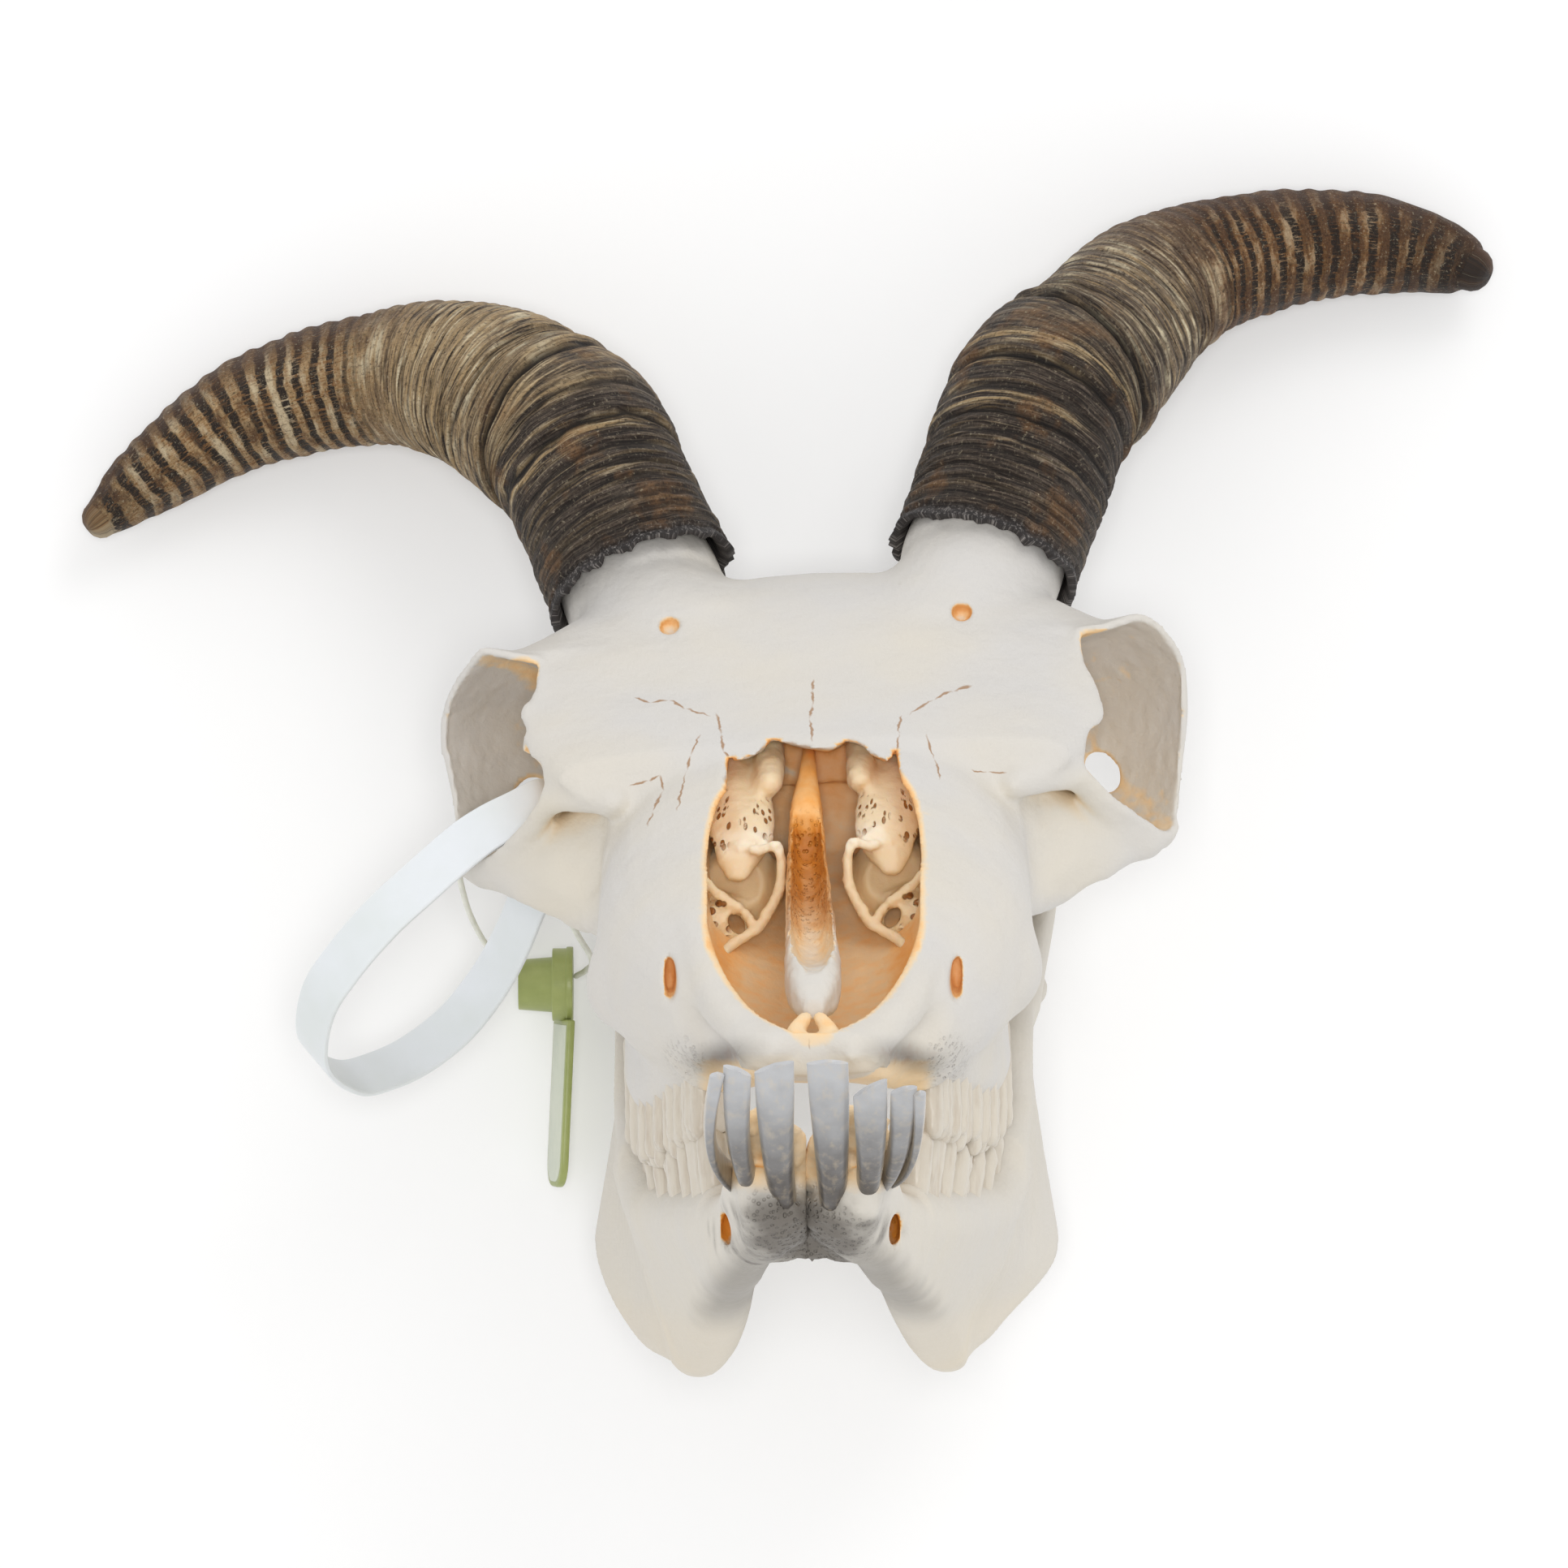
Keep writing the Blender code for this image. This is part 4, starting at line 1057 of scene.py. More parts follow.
@dataclass(frozen=True)
class PlasticFinish:
    """Moulded plastic with a faint cloud and grain."""

    name: str
    tone: Row
    shade: Row
    roughness: float = 0.4
    glow: float = 0.0
    cloud_size: float = 5.0

    def material(self) -> bpy.types.Material:
        """The plastic material.

        Returns:
            The material.
        """
        through = {"Subsurface_Weight": self.glow, "Subsurface_Radius": (0.002,) * 3, "Subsurface_Scale": 1.0}
        made = Recipe(self.name, Roughness=self.roughness, **(through if self.glow else {}))
        cloud = made.noise(made.place(), self.cloud_size, 3.0)
        made.bump(cloud, 0.12)
        made.bump(made.noise(made.place(), 0.35, 2.0), 0.02)
        return made.finished(made.mix(made.ramp(cloud, 0.3, 0.7), self.tone, self.shade))


# --- The cranium -----------------------------------------------------------------
BRAINCASE = (  # z, x, y, half width, half height
    (1.5, 0, -14, 17, 12), (6, 0, -15, 27, 22), (14, 0, -14, 33, 27),
    (28, 0, -12, 36.5, 32), (44, 0, -6, 37, 36.5), (57, 0, -3, 35, 40),
    (70, 0, -5, 30, 37.5), (85, 0, -10, 26, 34), (100, 0, -16, 27, 32),
    (118, 0, -22, 32, 28),
)
FACE = (
    (96, 0, -20, 32, 30), (106, 0, -20, 35.6, 31), (116, 0, -20.5, 37.0, 30),
    (126, 0, -23.5, 37.6, 28.5), (138, 0, -27.5, 37.6, 25.5), (150, 0, -31, 35.8, 22.5),
    (164, 0, -34.5, 31.5, 19), (178, 0, -38, 25.5, 14.5), (190, 0, -40.5, 19.5, 10.5),
    (202, 0, -43, 14.5, 6.8), (214, 0, -44.8, 11.5, 3.6),
)
FRONTAL_SHIELD = (
    (52, 0, 25, 28, 12), (62, 0, 24.5, 42, 12.5), (74, 0, 22.8, 50, 10.8),
    (86, 0, 17.8, 52, 9.4), (98, 0, 11, 50.5, 8.5), (110, 0, 5.6, 48.4, 7.4),
    (120, 0, 2.6, 44.5, 4.6),
)
NASAL_CAVITY = (
    (106, 0, -4, 12, 8), (112, 0, -5.5, 16, 11), (118, 0, -7, 17.5, 12),
    (130, 0, -11.5, 19, 15.5), (145, 0, -17.5, 19.2, 18), (160, 0, -24.5, 19.4, 16),
    (180, 0, -33, 18.2, 11.5), (195, 0, -37, 12.8, 8), (206, 0, -39, 7.7, 5), (213, 0, -40, 3, 3),
)
NOSE_TOP = (  # x, y of the broken edge over the nose
    (-15.4, 0.0), (-15.2, 6.1), (-14.0, 4.7), (-11.2, 5.2), (-9.1, 6.2), (-7.9, 7.8), (-6.6, 7.9),
    (-4.8, 7.3), (-2.7, 6.6), (-0.2, 6.1), (2.2, 5.6), (4.4, 6.3), (5.4, 7.3), (7.2, 7.0),
    (9.0, 5.8), (10.0, 4.4), (12.9, 3.4), (14.0, 5.4), (14.6, 3.0), (15.0, 0.0),
)
SOCKET_RIGHT = (  # x, y, z round the rim of the eye socket on the animal's right, turned to +X
    (49.6, 23.4, 88), (49.4, 21.0, 90.5), (49.5, 18.9, 93), (50.3, 17.0, 95), (51.5, 16.1, 96),
    (51.9, 13.9, 98), (50.7, 11.7, 100), (52.3, 9.6, 102.5), (52.4, 8.2, 104), (50.9, 7.1, 105),
    (48.8, 6.5, 106), (47.7, 4.7, 108), (47.8, 1.6, 110), (48.7, -1.5, 109), (52.9, -6.2, 100.5),
    (58.1, -10.3, 93), (61.9, -7.1, 86), (63.2, -3.6, 83.5), (63.7, 1.1, 81), (64.6, 6.5, 79.5),
    (65.4, 10.3, 79), (65.2, 15.1, 79.5), (63.9, 18.9, 81.5), (61.6, 22.5, 84.5),
    (59.1, 25.3, 87), (57.0, 25.1, 87.5), (53.9, 24.3, 88.5),
)
SOCKET_LEFT = (
    (47.4, 24.2, 88), (47.1, 21.7, 90), (47.6, 19.1, 92), (48.7, 17.0, 94), (49.7, 14.4, 96),
    (50.4, 11.7, 98), (50.8, 9.9, 99.5), (50.2, 8.5, 101), (48.3, 7.5, 102.5), (47.5, 5.8, 104),
    (47.2, 3.0, 106), (47.7, 0.1, 108), (51.3, -3.4, 108), (54.4, -5.9, 104), (56.8, -7.6, 100),
    (61.6, -11.1, 91), (63.2, -9.5, 87), (63.9, -5.6, 83), (64.2, -0.6, 81), (64.6, 4.5, 79.5),
    (65.0, 9.5, 79), (65.0, 15.0, 79), (64.3, 19.1, 80), (62.2, 22.6, 82.5), (59.6, 25.3, 84.5),
    (56.6, 26.2, 86.5), (51.9, 24.8, 88),
)
SOCKET_DIVE = (-15.0, -1.0, -25.0)
BROW_EDGE = (  # the thin roof of the eye socket
    (42.5, 23.2, 84, 7.6), (43.0, 20.0, 90.5, 8.2), (43.5, 14.8, 98.4, 8.6),
    (42.5, 9.4, 106.5, 7.6), (41.0, 4.5, 112.5, 5.0),
)
CHEEK_PLATE = ((32, -12, 113, 11.5), (41, -12.0, 106.5, 10.0), (50, -12, 99.5, 6.5), (58, -11.5, 91, 3.8))
CHEEK_BORDER = (
    (34, -20.5, 112, 5.0), (39, -21.0, 107, 3.6), (45, -18.6, 102.5, 2.8), (51, -15.9, 98.5, 2.5),
    (57, -13.0, 92.5, 2.4), (61.6, -11.4, 87, 2.6),
)
CHEEK_CREST = (
    (35, -1.6, 119.5, 2.6), (40, -0.6, 117.0, 2.6), (44.5, -0.4, 114.0, 2.5), (47.6, -2.0, 110, 2.6),
    (52.0, -7.6, 101.0, 2.9), (58.2, -12.2, 92.0, 2.8),
)
SEAMS = (  # weight, then x and y along each crack or bone joint of the face
    (0.9, ((-0.2, 18.6), (-0.3, 16.5), (-0.5, 13.9), (-0.8, 11.5), (-0.5, 7.5))),
    (0.55, ((-31.8, 16.8), (-29.0, 15.6), (-25.5, 15.9), (-22.6, 14.2), (-18.5, 12.6))),
    (0.7, ((16.5, 11.5), (20.7, 13.8), (24.2, 15.4), (27.8, 16.1))),
    (0.7, ((-17.4, 13.3), (-16.5, 9.4), (-15.8, 6.5), (-15.0, 4.8))),
    (0.7, ((15.0, 11.5), (14.6, 8.0), (14.0, 4.5))),
    (0.5, ((-20.2, 9.6), (-21.6, 6.1), (-22.5, 3.3), (-24.0, -3.7))),
    (0.5, ((-32.5, 0.9), (-29.0, 1.9), (-26.9, 2.8), (-26.6, -0.1), (-28.3, -3.6), (-29.0, -6.1))),
    (0.5, ((19.3, 7.8), (20.7, 3.5), (21.6, -0.4))),
    (0.4, ((27.1, 1.3), (29.9, 0.6), (33.5, 0.5))),
    (0.3, ((-1.2, -41.8), (-0.9, -44.2))),
)
HORN_CORE_RIGHT = (
    (20, 20, 70, 15.5), (28.2, 29.5, 55.6, 16.6), (31.2, 36.2, 50.6, 17.0), (34.8, 44.3, 47.4, 16.0),
)
HORN_CORE_LEFT = (
    (20, 20, 70, 15.5), (28.2, 33.0, 56.8, 17.0), (30.6, 39.5, 52.4, 17.6), (33.4, 47.5, 49.0, 16.4),
)
SOCKET_ROOF = ((60, 20, 78, 8), (50, 24.5, 76, 10), (36, 23, 74, 11))
ZYGOMATIC_ARCH = (
    (59.5, -8.5, 90, 4.2), (58.5, -10.2, 76, 4.4), (53.0, -12.5, 61, 4.4),
    (44.5, -18, 47, 5.0), (33.0, -18, 38, 6.0),
)
NECK_PROCESS = ((27, -32, 14, 6), (26, -48, 11, 4.5), (25, -60, 11, 2.5))
NECK_CREST = ((-24, 2, 8, 3.5), (0, 9, 5, 4.5), (24, 2, 8, 3.5))
TEMPLE_HOLE = ((51.4, -0.2, 100, 3.9), (51.4, -0.2, 40, 3.9))
CORD_HOLE = ((0, -24, -6, 8.5), (0, -22, 26, 8.5))
BROW_HOLE = ((26, 30.5, 98, 1.8), (26, 29.3, 81, 1.8))
CHEEK_SLIT = ((23.8, -33.4, 188, 3.7), (24.0, -33.0, 180, 3.7), (24.3, -32.0, 172.5, 2.8))
PALATE_ARCH = ((0, -57, 92, 19), (0, -56, 140, 17), (0, -54, 196, 10))
FLOOR_RIDGE = ((6.8, -25, 146, 1.4), (6.9, -33, 162, 1.3), (7.0, -39, 180, 1.2))
FLOOR_STRUT = ((8.4, -20, 139, 1.2), (9.6, -28, 150, 1.2), (11.4, -36.5, 172, 1.0))
NOSE_RIM = (
    (21.2, -17, 154, 1.2), (19.6, -27, 173, 2.4), (16.0, -36, 192, 2.8), (10.5, -42, 206, 2.6),
    (6.5, -44.2, 213, 2.4),
)
SIDE_NOTCH = ((24.5, -38, 186, 3.4), (19.2, -44.9, 191, 4.8), (15.4, -48.7, 203, 4.8), (13.0, -51.5, 214, 4.0))
SIDE_PIT = ((17.5, -49.5, 196, 5.0), (17.5, -53, 178, 4.0))
FRONT_TIP = ((2.0, -43.6, 210, 2.3), (6.0, -44.6, 212.5, 2.3), (10.4, -45.2, 212, 2.1))
MIDDLE_TIP = ((1.2, -38.8, 205, 1.1), (2.8, -41.5, 209, 1.7), (1.8, -43.5, 211, 1.7))
UPPER_TEETH = (  # z, x, half length, half width, crown end y
    (103.0, 27.0, 7.0, 5.0, -62.0), (118.0, 25.7, 6.8, 5.2, -63.2),
    (132.0, 23.9, 6.2, 5.0, -62.8), (144.5, 21.8, 5.2, 4.4, -61.3),
    (155.0, 19.9, 4.4, 3.9, -60.2), (164.0, 18.0, 3.8, 3.4, -59.0),
)


def socket(rim: Rows, swell: float, ahead: float) -> Form:
    """A bowl that hangs from a closed rim.

    Args:
        rim: x, y and z round the rim.
        swell: how far the bowl is grown outwards.
        ahead: how far it reaches straight up from the rim.

    Returns:
        The bowl as a closed form.
    """
    edge = closed_route(rim, 6)
    middle = edge.mean(axis=0)
    out = edge - middle
    out += swell * unit(out * (1, 1, 0))
    sink = np.array(SOCKET_DIVE) * (1 + swell / 25)
    rings = [middle + out + (0, 0, ahead)] if ahead else []
    for slope in np.linspace(0, np.pi / 2, 10)[:-1]:
        rings.append(middle + out * math.cos(slope) + sink * math.sin(slope))
    return Form(np.array(rings))


def prism(outline: Rows, low: float, high: float) -> Form:
    """An outline in X and Y, drawn out from one height to another."""
    flat = np.array(outline)
    return Form(np.array([np.column_stack([flat, np.full(len(flat), z)]) for z in (low, high)]))


def gum(section: Callable[..., Row]) -> Form:
    """The bone that holds a row of cheek teeth, a little longer than the row.

    Args:
        section: gives a plank's x, y, x, y and half thickness from a tooth's x, half width and crown end.

    Returns:
        The form.
    """
    rows = [(z, *section(x, width, crown)) for z, x, _, width, crown in UPPER_TEETH]
    return plank([(rows[0][0] - 8, *rows[0][1:]), *rows, (rows[-1][0] + 6, *rows[-1][1:])])


def lean_crown(points: np.ndarray) -> np.ndarray:
    """The crown's slight skew, gone by the front of the cheeks.

    Args:
        points: places on the upright skull.

    Returns:
        The same places, leaned.
    """
    share = np.clip((SKEW_NONE_Z - points[:, 2]) / (SKEW_NONE_Z - SKEW_FULL_Z), 0, 1)
    out = points.copy()
    out[:, 1] += SKEW * points[:, 0] * share
    out[:, 0] -= NOSE_DRIFT * np.clip(points[:, 2] - NOSE_DRIFT_Z, 0, None)
    out[:, 0] += TEETH_DRIFT * smoothstep(-points[:, 1], 36, 58)
    return out


@dataclass
class Cranium:
    """The upper skull as one skin: braincase, brow, cheeks and upper jaws."""

    voxel: float = 0.7
    triangles: int = 190_000
    low: Row = (-72.0, -68.0, -4.0)
    high: Row = (72.0, 66.0, 222.0)
    cavity: Form = hull(NASAL_CAVITY, power=2.6)
    eye_right: Form = socket(SOCKET_RIGHT, 0.0, 40.0).mirrored()
    eye_left: Form = socket(SOCKET_LEFT, 0.0, 40.0)
    slit: Form = limb(CHEEK_SLIT, Y_AXIS, 3.2)
    brow_hole: Form = limb(BROW_HOLE)
    socket_wall: float = 1.5

    def _both(self, work: Callable[..., None], *settings: tuple) -> None:
        """Add or cut forms and their mirror images, each given as form, blend and perhaps roughness."""
        for form, *how in settings:
            work(form, *how)
            work(form.mirrored(), *how)

    def _build_up(self, clay: Clay) -> None:
        """Join the solid masses of the skull.

        Args:
            clay: the skull's clay.
        """
        clay.add(hull(BRAINCASE), 3.0)
        clay.add(hull(FACE), 3.0)
        clay.add(hull(FRONTAL_SHIELD, power=3.0), 3.5)
        clay.add(limb(HORN_CORE_RIGHT, Z_AXIS, HORN_DEPTH_RATIO).mirrored(), 4.0)
        clay.add(limb(HORN_CORE_LEFT, Z_AXIS, HORN_DEPTH_RATIO), 4.0)
        self._both(
            clay.add,
            (limb(SOCKET_ROOF, Z_AXIS, 4.0), 3.0),
            (limb(ZYGOMATIC_ARCH, Y_AXIS, 2.0), 2.0),
            (limb(CHEEK_PLATE, Y_AXIS, 1.9), 6.0),
            (ball((33.6, -33.5, 138), (5.5, 6.5, 10)), 4.0),
            (ball((12.5, -36, 8.5), (8, 10, 9)), 3.0),
            (limb(NECK_PROCESS), 3.0),
            (ball((21, -43, 38), (8, 9, 11)), 3.0),
        )
        clay.add(limb(NECK_CREST), 4.0)
        self._both(clay.add, (gum(lambda x, width, crown: (x - 0.4, -42, x, crown + 12.6, width + 1.9)), 3.0))

    def _carve(self, clay: Clay) -> None:
        """Open the eye sockets and the holes, and add the thin edges.

        Args:
            clay: the skull's clay.
        """
        self._both(clay.cut, (ball((46, 0, 58), (11, 20, 13)), 3.0))
        clay.add(socket(SOCKET_RIGHT, self.socket_wall, 0.0).mirrored(), 1.6)
        clay.add(socket(SOCKET_LEFT, self.socket_wall, 0.0), 1.6)
        cheek = ball((45.0, -10.5, 118.5), (7.5, 8.8, 5.4), (0.6, 0, 0.8))
        self._both(clay.cut, (cheek, 5.5, Rough(0.9, 5.0, 13)))
        self._both(
            clay.add,
            (limb(CHEEK_BORDER), 1.8, Rough(0.5, 4.0, 14)),
            (limb(CHEEK_CREST), 2.0, Rough(0.3, 4.0, 17)),
            (limb(BROW_EDGE, (1, 0, -0.18), 4.4), 2.5),
        )
        clay.cut(self.eye_right, 0.5, Rough(0.15, 1.6, 15))
        clay.cut(self.eye_left, 0.5, Rough(0.15, 1.6, 16))
        temple = limb(TEMPLE_HOLE, (0.5, -0.85, 0), 1.45)
        self._both(clay.cut, (temple, 0.6), (self.brow_hole, 0.6), (self.slit, 0.7))
        clay.cut(limb(CORD_HOLE), 1.5)

    def _nose(self, clay: Clay) -> None:
        """The open nose, its broken upper edge and the tips in front of it.

        Args:
            clay: the skull's clay.
        """
        clay.cut(limb(PALATE_ARCH, X_AXIS, 2.6), 3.0)
        clay.cut(self.cavity, 1.0)
        clay.cut(prism(NOSE_TOP, 104, 152), 0.4, Rough(0.25, 1.6, 11))
        clay.add(limb([(-x, *rest) for x, *rest in FLOOR_RIDGE]), 1.4)
        clay.add(limb(FLOOR_RIDGE), 1.4)
        clay.add(limb(FLOOR_STRUT), 1.4)
        self._both(clay.add, (limb(NOSE_RIM), 1.6))
        self._both(clay.cut, (limb(SIDE_NOTCH), 2.0), (limb(SIDE_PIT), 2.0))
        self._both(clay.add, (limb(FRONT_TIP), 0.9, Rough(0.8, 1.5, 5)), (limb(MIDDLE_TIP), 0.8))

    def _stain(self, skull: bpy.types.Object, points: np.ndarray) -> None:
        """Store where the bone is cream, stained, dark, grey or porous, and where shade and warm glow are
        painted in.

        Args:
            skull: the skull.
            points: its points before the crown was leaned.
        """
        # How shut in each point is; the cream it gives in crevices is painted shade.
        shut = hidden_share(skull)
        facing = normals_of(skull)[:, 2]
        x, y, z = points.T
        wide = np.abs(x)
        # The nose's warm colour is partly real fat stain, partly painted glow of light passing through and
        # bouncing inside the cavity.
        nose = nearness(self.cavity, points, 1.6) * smoothstep(z, 92, 100)
        roof = smoothstep(-wide, -18, -16) * smoothstep(y, -6, -4) * smoothstep(shut, 0.15, 0.3)
        nose = np.maximum(nose, roof * smoothstep(z, 98, 102) * smoothstep(-y, -11, -9))
        low_wall = smoothstep(wide, 11.5, 15.5) * smoothstep(-y, 22, 29) * smoothstep(-z, -186, -176)
        # The eye sockets' tan is painted warm bounce light in their shaded bowls.
        eyes = np.maximum(nearness(self.eye_left, points, 2.0), nearness(self.eye_right, points, 2.0))
        eyes *= smoothstep(shut, 0.03, 0.14)
        # The colour inside the holes is painted shade.
        holes = np.max([nearness(form, points, 1.2) for hole in (self.slit, self.brow_hole)
                        for form in (hole, hole.mirrored())], axis=0)
        holes *= smoothstep(shut, 0.25, 0.7)
        # Cream in the recess under the cheek crest is painted shade.
        hollow = smoothstep(-np.abs(wide - 44), -12, -3) * smoothstep(y, -24, -20) * smoothstep(-y, -2, 2)
        hollow *= smoothstep(z, 96, 101) * smoothstep(-z, -119, -115)
        ends = smoothstep(-y, 44.2, 45.5) * smoothstep(z, 200, 206) * smoothstep(-wide, -13.5, -12)
        # Painted shadow beside the front tips, where the upper jaw pinches in behind them.
        pit_shadow = oval(wide, y + 0.25 * (wide - 15.4), (15.4, -45.8), (5.0, 2.2), (-0.1, 1.9))
        pit_shadow *= smoothstep(z, 170, 178)
        speckle = oval(x, y, (22.5, -47), (4.5, 5.5), (0.5, 1.1)) * smoothstep(z, 140, 150)
        speckle += 0.6 * oval(x, y, (-22.0, -46), (4.5, 4.5), (0.5, 1.1)) * smoothstep(z, 140, 150)
        palate = smoothstep(-y, 45.5, 47) * smoothstep(-wide, -22, -17) * smoothstep(-z, -208, -202)
        cream = np.clip(shut * 0.5 + 0.35 * eyes + 0.4 * hollow + 0.5 * ends, 0, 1)
        stain = nose * (0.44 + 0.2 * smoothstep(y, -14, 2) + 0.26 * low_wall)
        stain += eyes * (0.3 + 0.14 * smoothstep(-wide, -66, -52))
        set_values(
            skull,
            cream=np.maximum(cream * (1 - nose) + nose * 0.6, 0.9 * palate),
            stain=np.max([stain, 0.62 * holes, 0.36 * palate], axis=0),
            dark=0.3 * np.maximum(pit_shadow, holes),
            grey=0.8 * pit_shadow + 0.1 * speckle,
            pore=speckle,
            seam_share=(1 - nose) * smoothstep(facing, 0.05, 0.3) * smoothstep(z, 60, 75),
        )

    def model(self) -> bpy.types.Object:
        """Sculpt the skull.

        Returns:
            The skull as one object.
        """
        clay = Clay(self.low, self.high, self.voxel)
        self._build_up(clay)
        self._carve(clay)
        self._nose(clay)
        skull = skin_object("cranium", clay, self.triangles)
        points = points_of(skull)
        set_points(skull, lean_crown(points))
        self._stain(skull, points)
        return skull


# --- Cheek teeth --------------------------------------------------------------------
@dataclass
class CheekTeeth:
    """One row of ribbed cheek teeth."""

    side: Side
    upper: bool
    voxel: float = 0.42
    triangles: int = 60_000
    row_spread: float = 0.2
    tooth_end: float = 0.97
    rib_reach: float = 0.86
    lower_width: float = 0.86

    def _tooth(self, clay: Clay, index: int) -> None:
        """Add one tooth: a body and the ribs along its outer face.

        Args:
            clay: the row's clay.
            index: which tooth, counted from the back.
        """
        z, x, length, width, crown = UPPER_TEETH[index]
        if self.upper:
            top, drift, way, fullness, ribs = -44.0, 0.0, 1, 0.94, 5 if index < 3 else 4
        else:
            top, drift, way, fullness, ribs = -78.0, -2.0, -1, 0.84, 3
            x, crown, width = x - LOWER_TEETH_INSET, crown - BITE_GAP, width * self.lower_width
        half = width * fullness
        ends = []
        for share in (-self.tooth_end, self.tooth_end):
            middle = x - self.row_spread * share * length
            ends.append((z + share * length, middle, crown + way * (half - 0.4), middle + drift, top, half))
        clay.add(plank(ends, 1), 0.6)
        rng = np.random.default_rng(60 + index + 10 * self.upper)
        for k in range(ribs):
            odd = k % 2
            share = 2 * k / (ribs - 1) - 1
            rib_z = z + share * length * self.rib_reach
            swing = width * (0.62 if odd else 0.84) + rng.uniform(-0.3, 0.3)
            out = x - self.row_spread * share * length + swing
            size = (1.9 if odd else 1.7) if self.upper else 2.5
            end = crown + way * (rng.uniform(-0.9, 0.4) if odd else rng.uniform(0.2, 1.9))
            rib = limb([(out, end, rib_z, size), (out + drift, top, rib_z, size * 0.95)], Z_AXIS)
            clay.add(rib, 0.5, Rough(0.16, 2.0, 64))

    def model(self) -> bpy.types.Object:
        """Sculpt the row.

        Returns:
            The row as one object.
        """
        low, high = ((10, -68, 92), (42, -40, 172)) if self.upper else ((8, -82, 92), (40, -57, 172))
        clay = Clay(low, high, self.voxel)
        for index in range(len(UPPER_TEETH)):
            self._tooth(clay, index)
        name = ("upper" if self.upper else "lower") + "_cheek_teeth_" + self.side.word
        row = skin_object(name, clay, self.triangles, whole=True)
        put_on_side(row, self.side, lean_crown if self.upper else turn_jaw)
        # Line colour where the row is shut in: painted shade between the ribs.
        set_values(row, stain=0.8 * smoothstep(hidden_share(row, 0.6), 0.5, 1.0))
        return row


# --- The lower jaw ---------------------------------------------------------------------
JAW_BODY = (  # z, upper x, upper y, lower x, lower y, half thickness
    (224, 8.5, -66.5, 8.5, -68.5, 3.2), (214, 9.0, -66.5, 7.0, -73.0, 4.6),
    (204, 10.0, -68.5, 8.0, -74.6, 5.0), (190, 11.0, -71.5, 10.6, -76.6, 5.0),
    (175, 14.0, -74.0, 13.0, -80.5, 5.0), (150, 20.0, -75.5, 15.6, -84.5, 5.3),
    (120, 25.0, -75.5, 17.8, -92.0, 5.6), (100, 29.0, -74.5, 19.8, -97.5, 5.6),
    (88, 32.0, -68.0, 21.8, -101.0, 5.2),
)
JAW_RAMUS = (
    (92, 31.5, -66.0, 22.2, -100.5, 4.2), (80, 33.5, -58.0, 24.0, -101.0, 3.8),
    (72, 34.0, -45.0, 26.8, -100.6, 3.4), (60, 34.5, -36.0, 31.0, -99.0, 3.2),
    (50, 33.5, -38.0, 36.0, -92.5, 3.0), (43, 33.0, -42.0, 39.2, -84.0, 2.8),
    (39, 33.0, -50.0, 39.2, -77.0, 2.0),
)
JAW_JOINT = ((30, -36, 47, 4.0), (36.5, -37, 47, 3.6))
JAW_HOOK = ((35.5, -40, 60, 7), (39.5, -22, 57, 5), (41.0, -9, 52, 3))
CHIN = ((1.5, -71.5, 196, 5.0), (2.5, -70.8, 206, 5.0), (3.5, -70.0, 216, 4.6))
CHIN_BRIDGE = ((0, -74.8, 197, 4.6), (4.5, -74.6, 197, 4.6), (7.0, -73.6, 197, 4.2))
TOOTH_BED = ((4.5, -70, 210, 6.8), (5.4, -64, 216.5, 7.2), (7.4, -58.5, 221.5, 6.4), (8.8, -54.5, 225, 4.6))
CHIN_HOLE = {Side.RIGHT: 16.2, Side.LEFT: 15.6}
# x and y of the painted shade along the jaw's lower inner faces.
JAW_SHADE_PATH = ((6.5, -76.0), (10.6, -82.0), (14.6, -88.5), (17.4, -94.5))
JAW_ANGLE_IN, JAW_ANGLE_UP = 3.4, (1.1, 2.0)


def turn_jaw(points: np.ndarray) -> np.ndarray:
    """The lower jaw sits a touch askew under the cranium.

    Args:
        points: places on the straight jaw.

    Returns:
        The same places, turned.
    """
    out = points.copy()
    out[:, 0] -= JAW_YAW * (points[:, 2] - JAW_YAW_Z)
    deep = smoothstep(-points[:, 1], 84, 100)
    out[:, 0] -= JAW_ANGLE_IN * deep * smoothstep(points[:, 0], 24, 32)
    out[:, 1] += deep * np.where(points[:, 0] > 0, JAW_ANGLE_UP[1], JAW_ANGLE_UP[0])
    return out


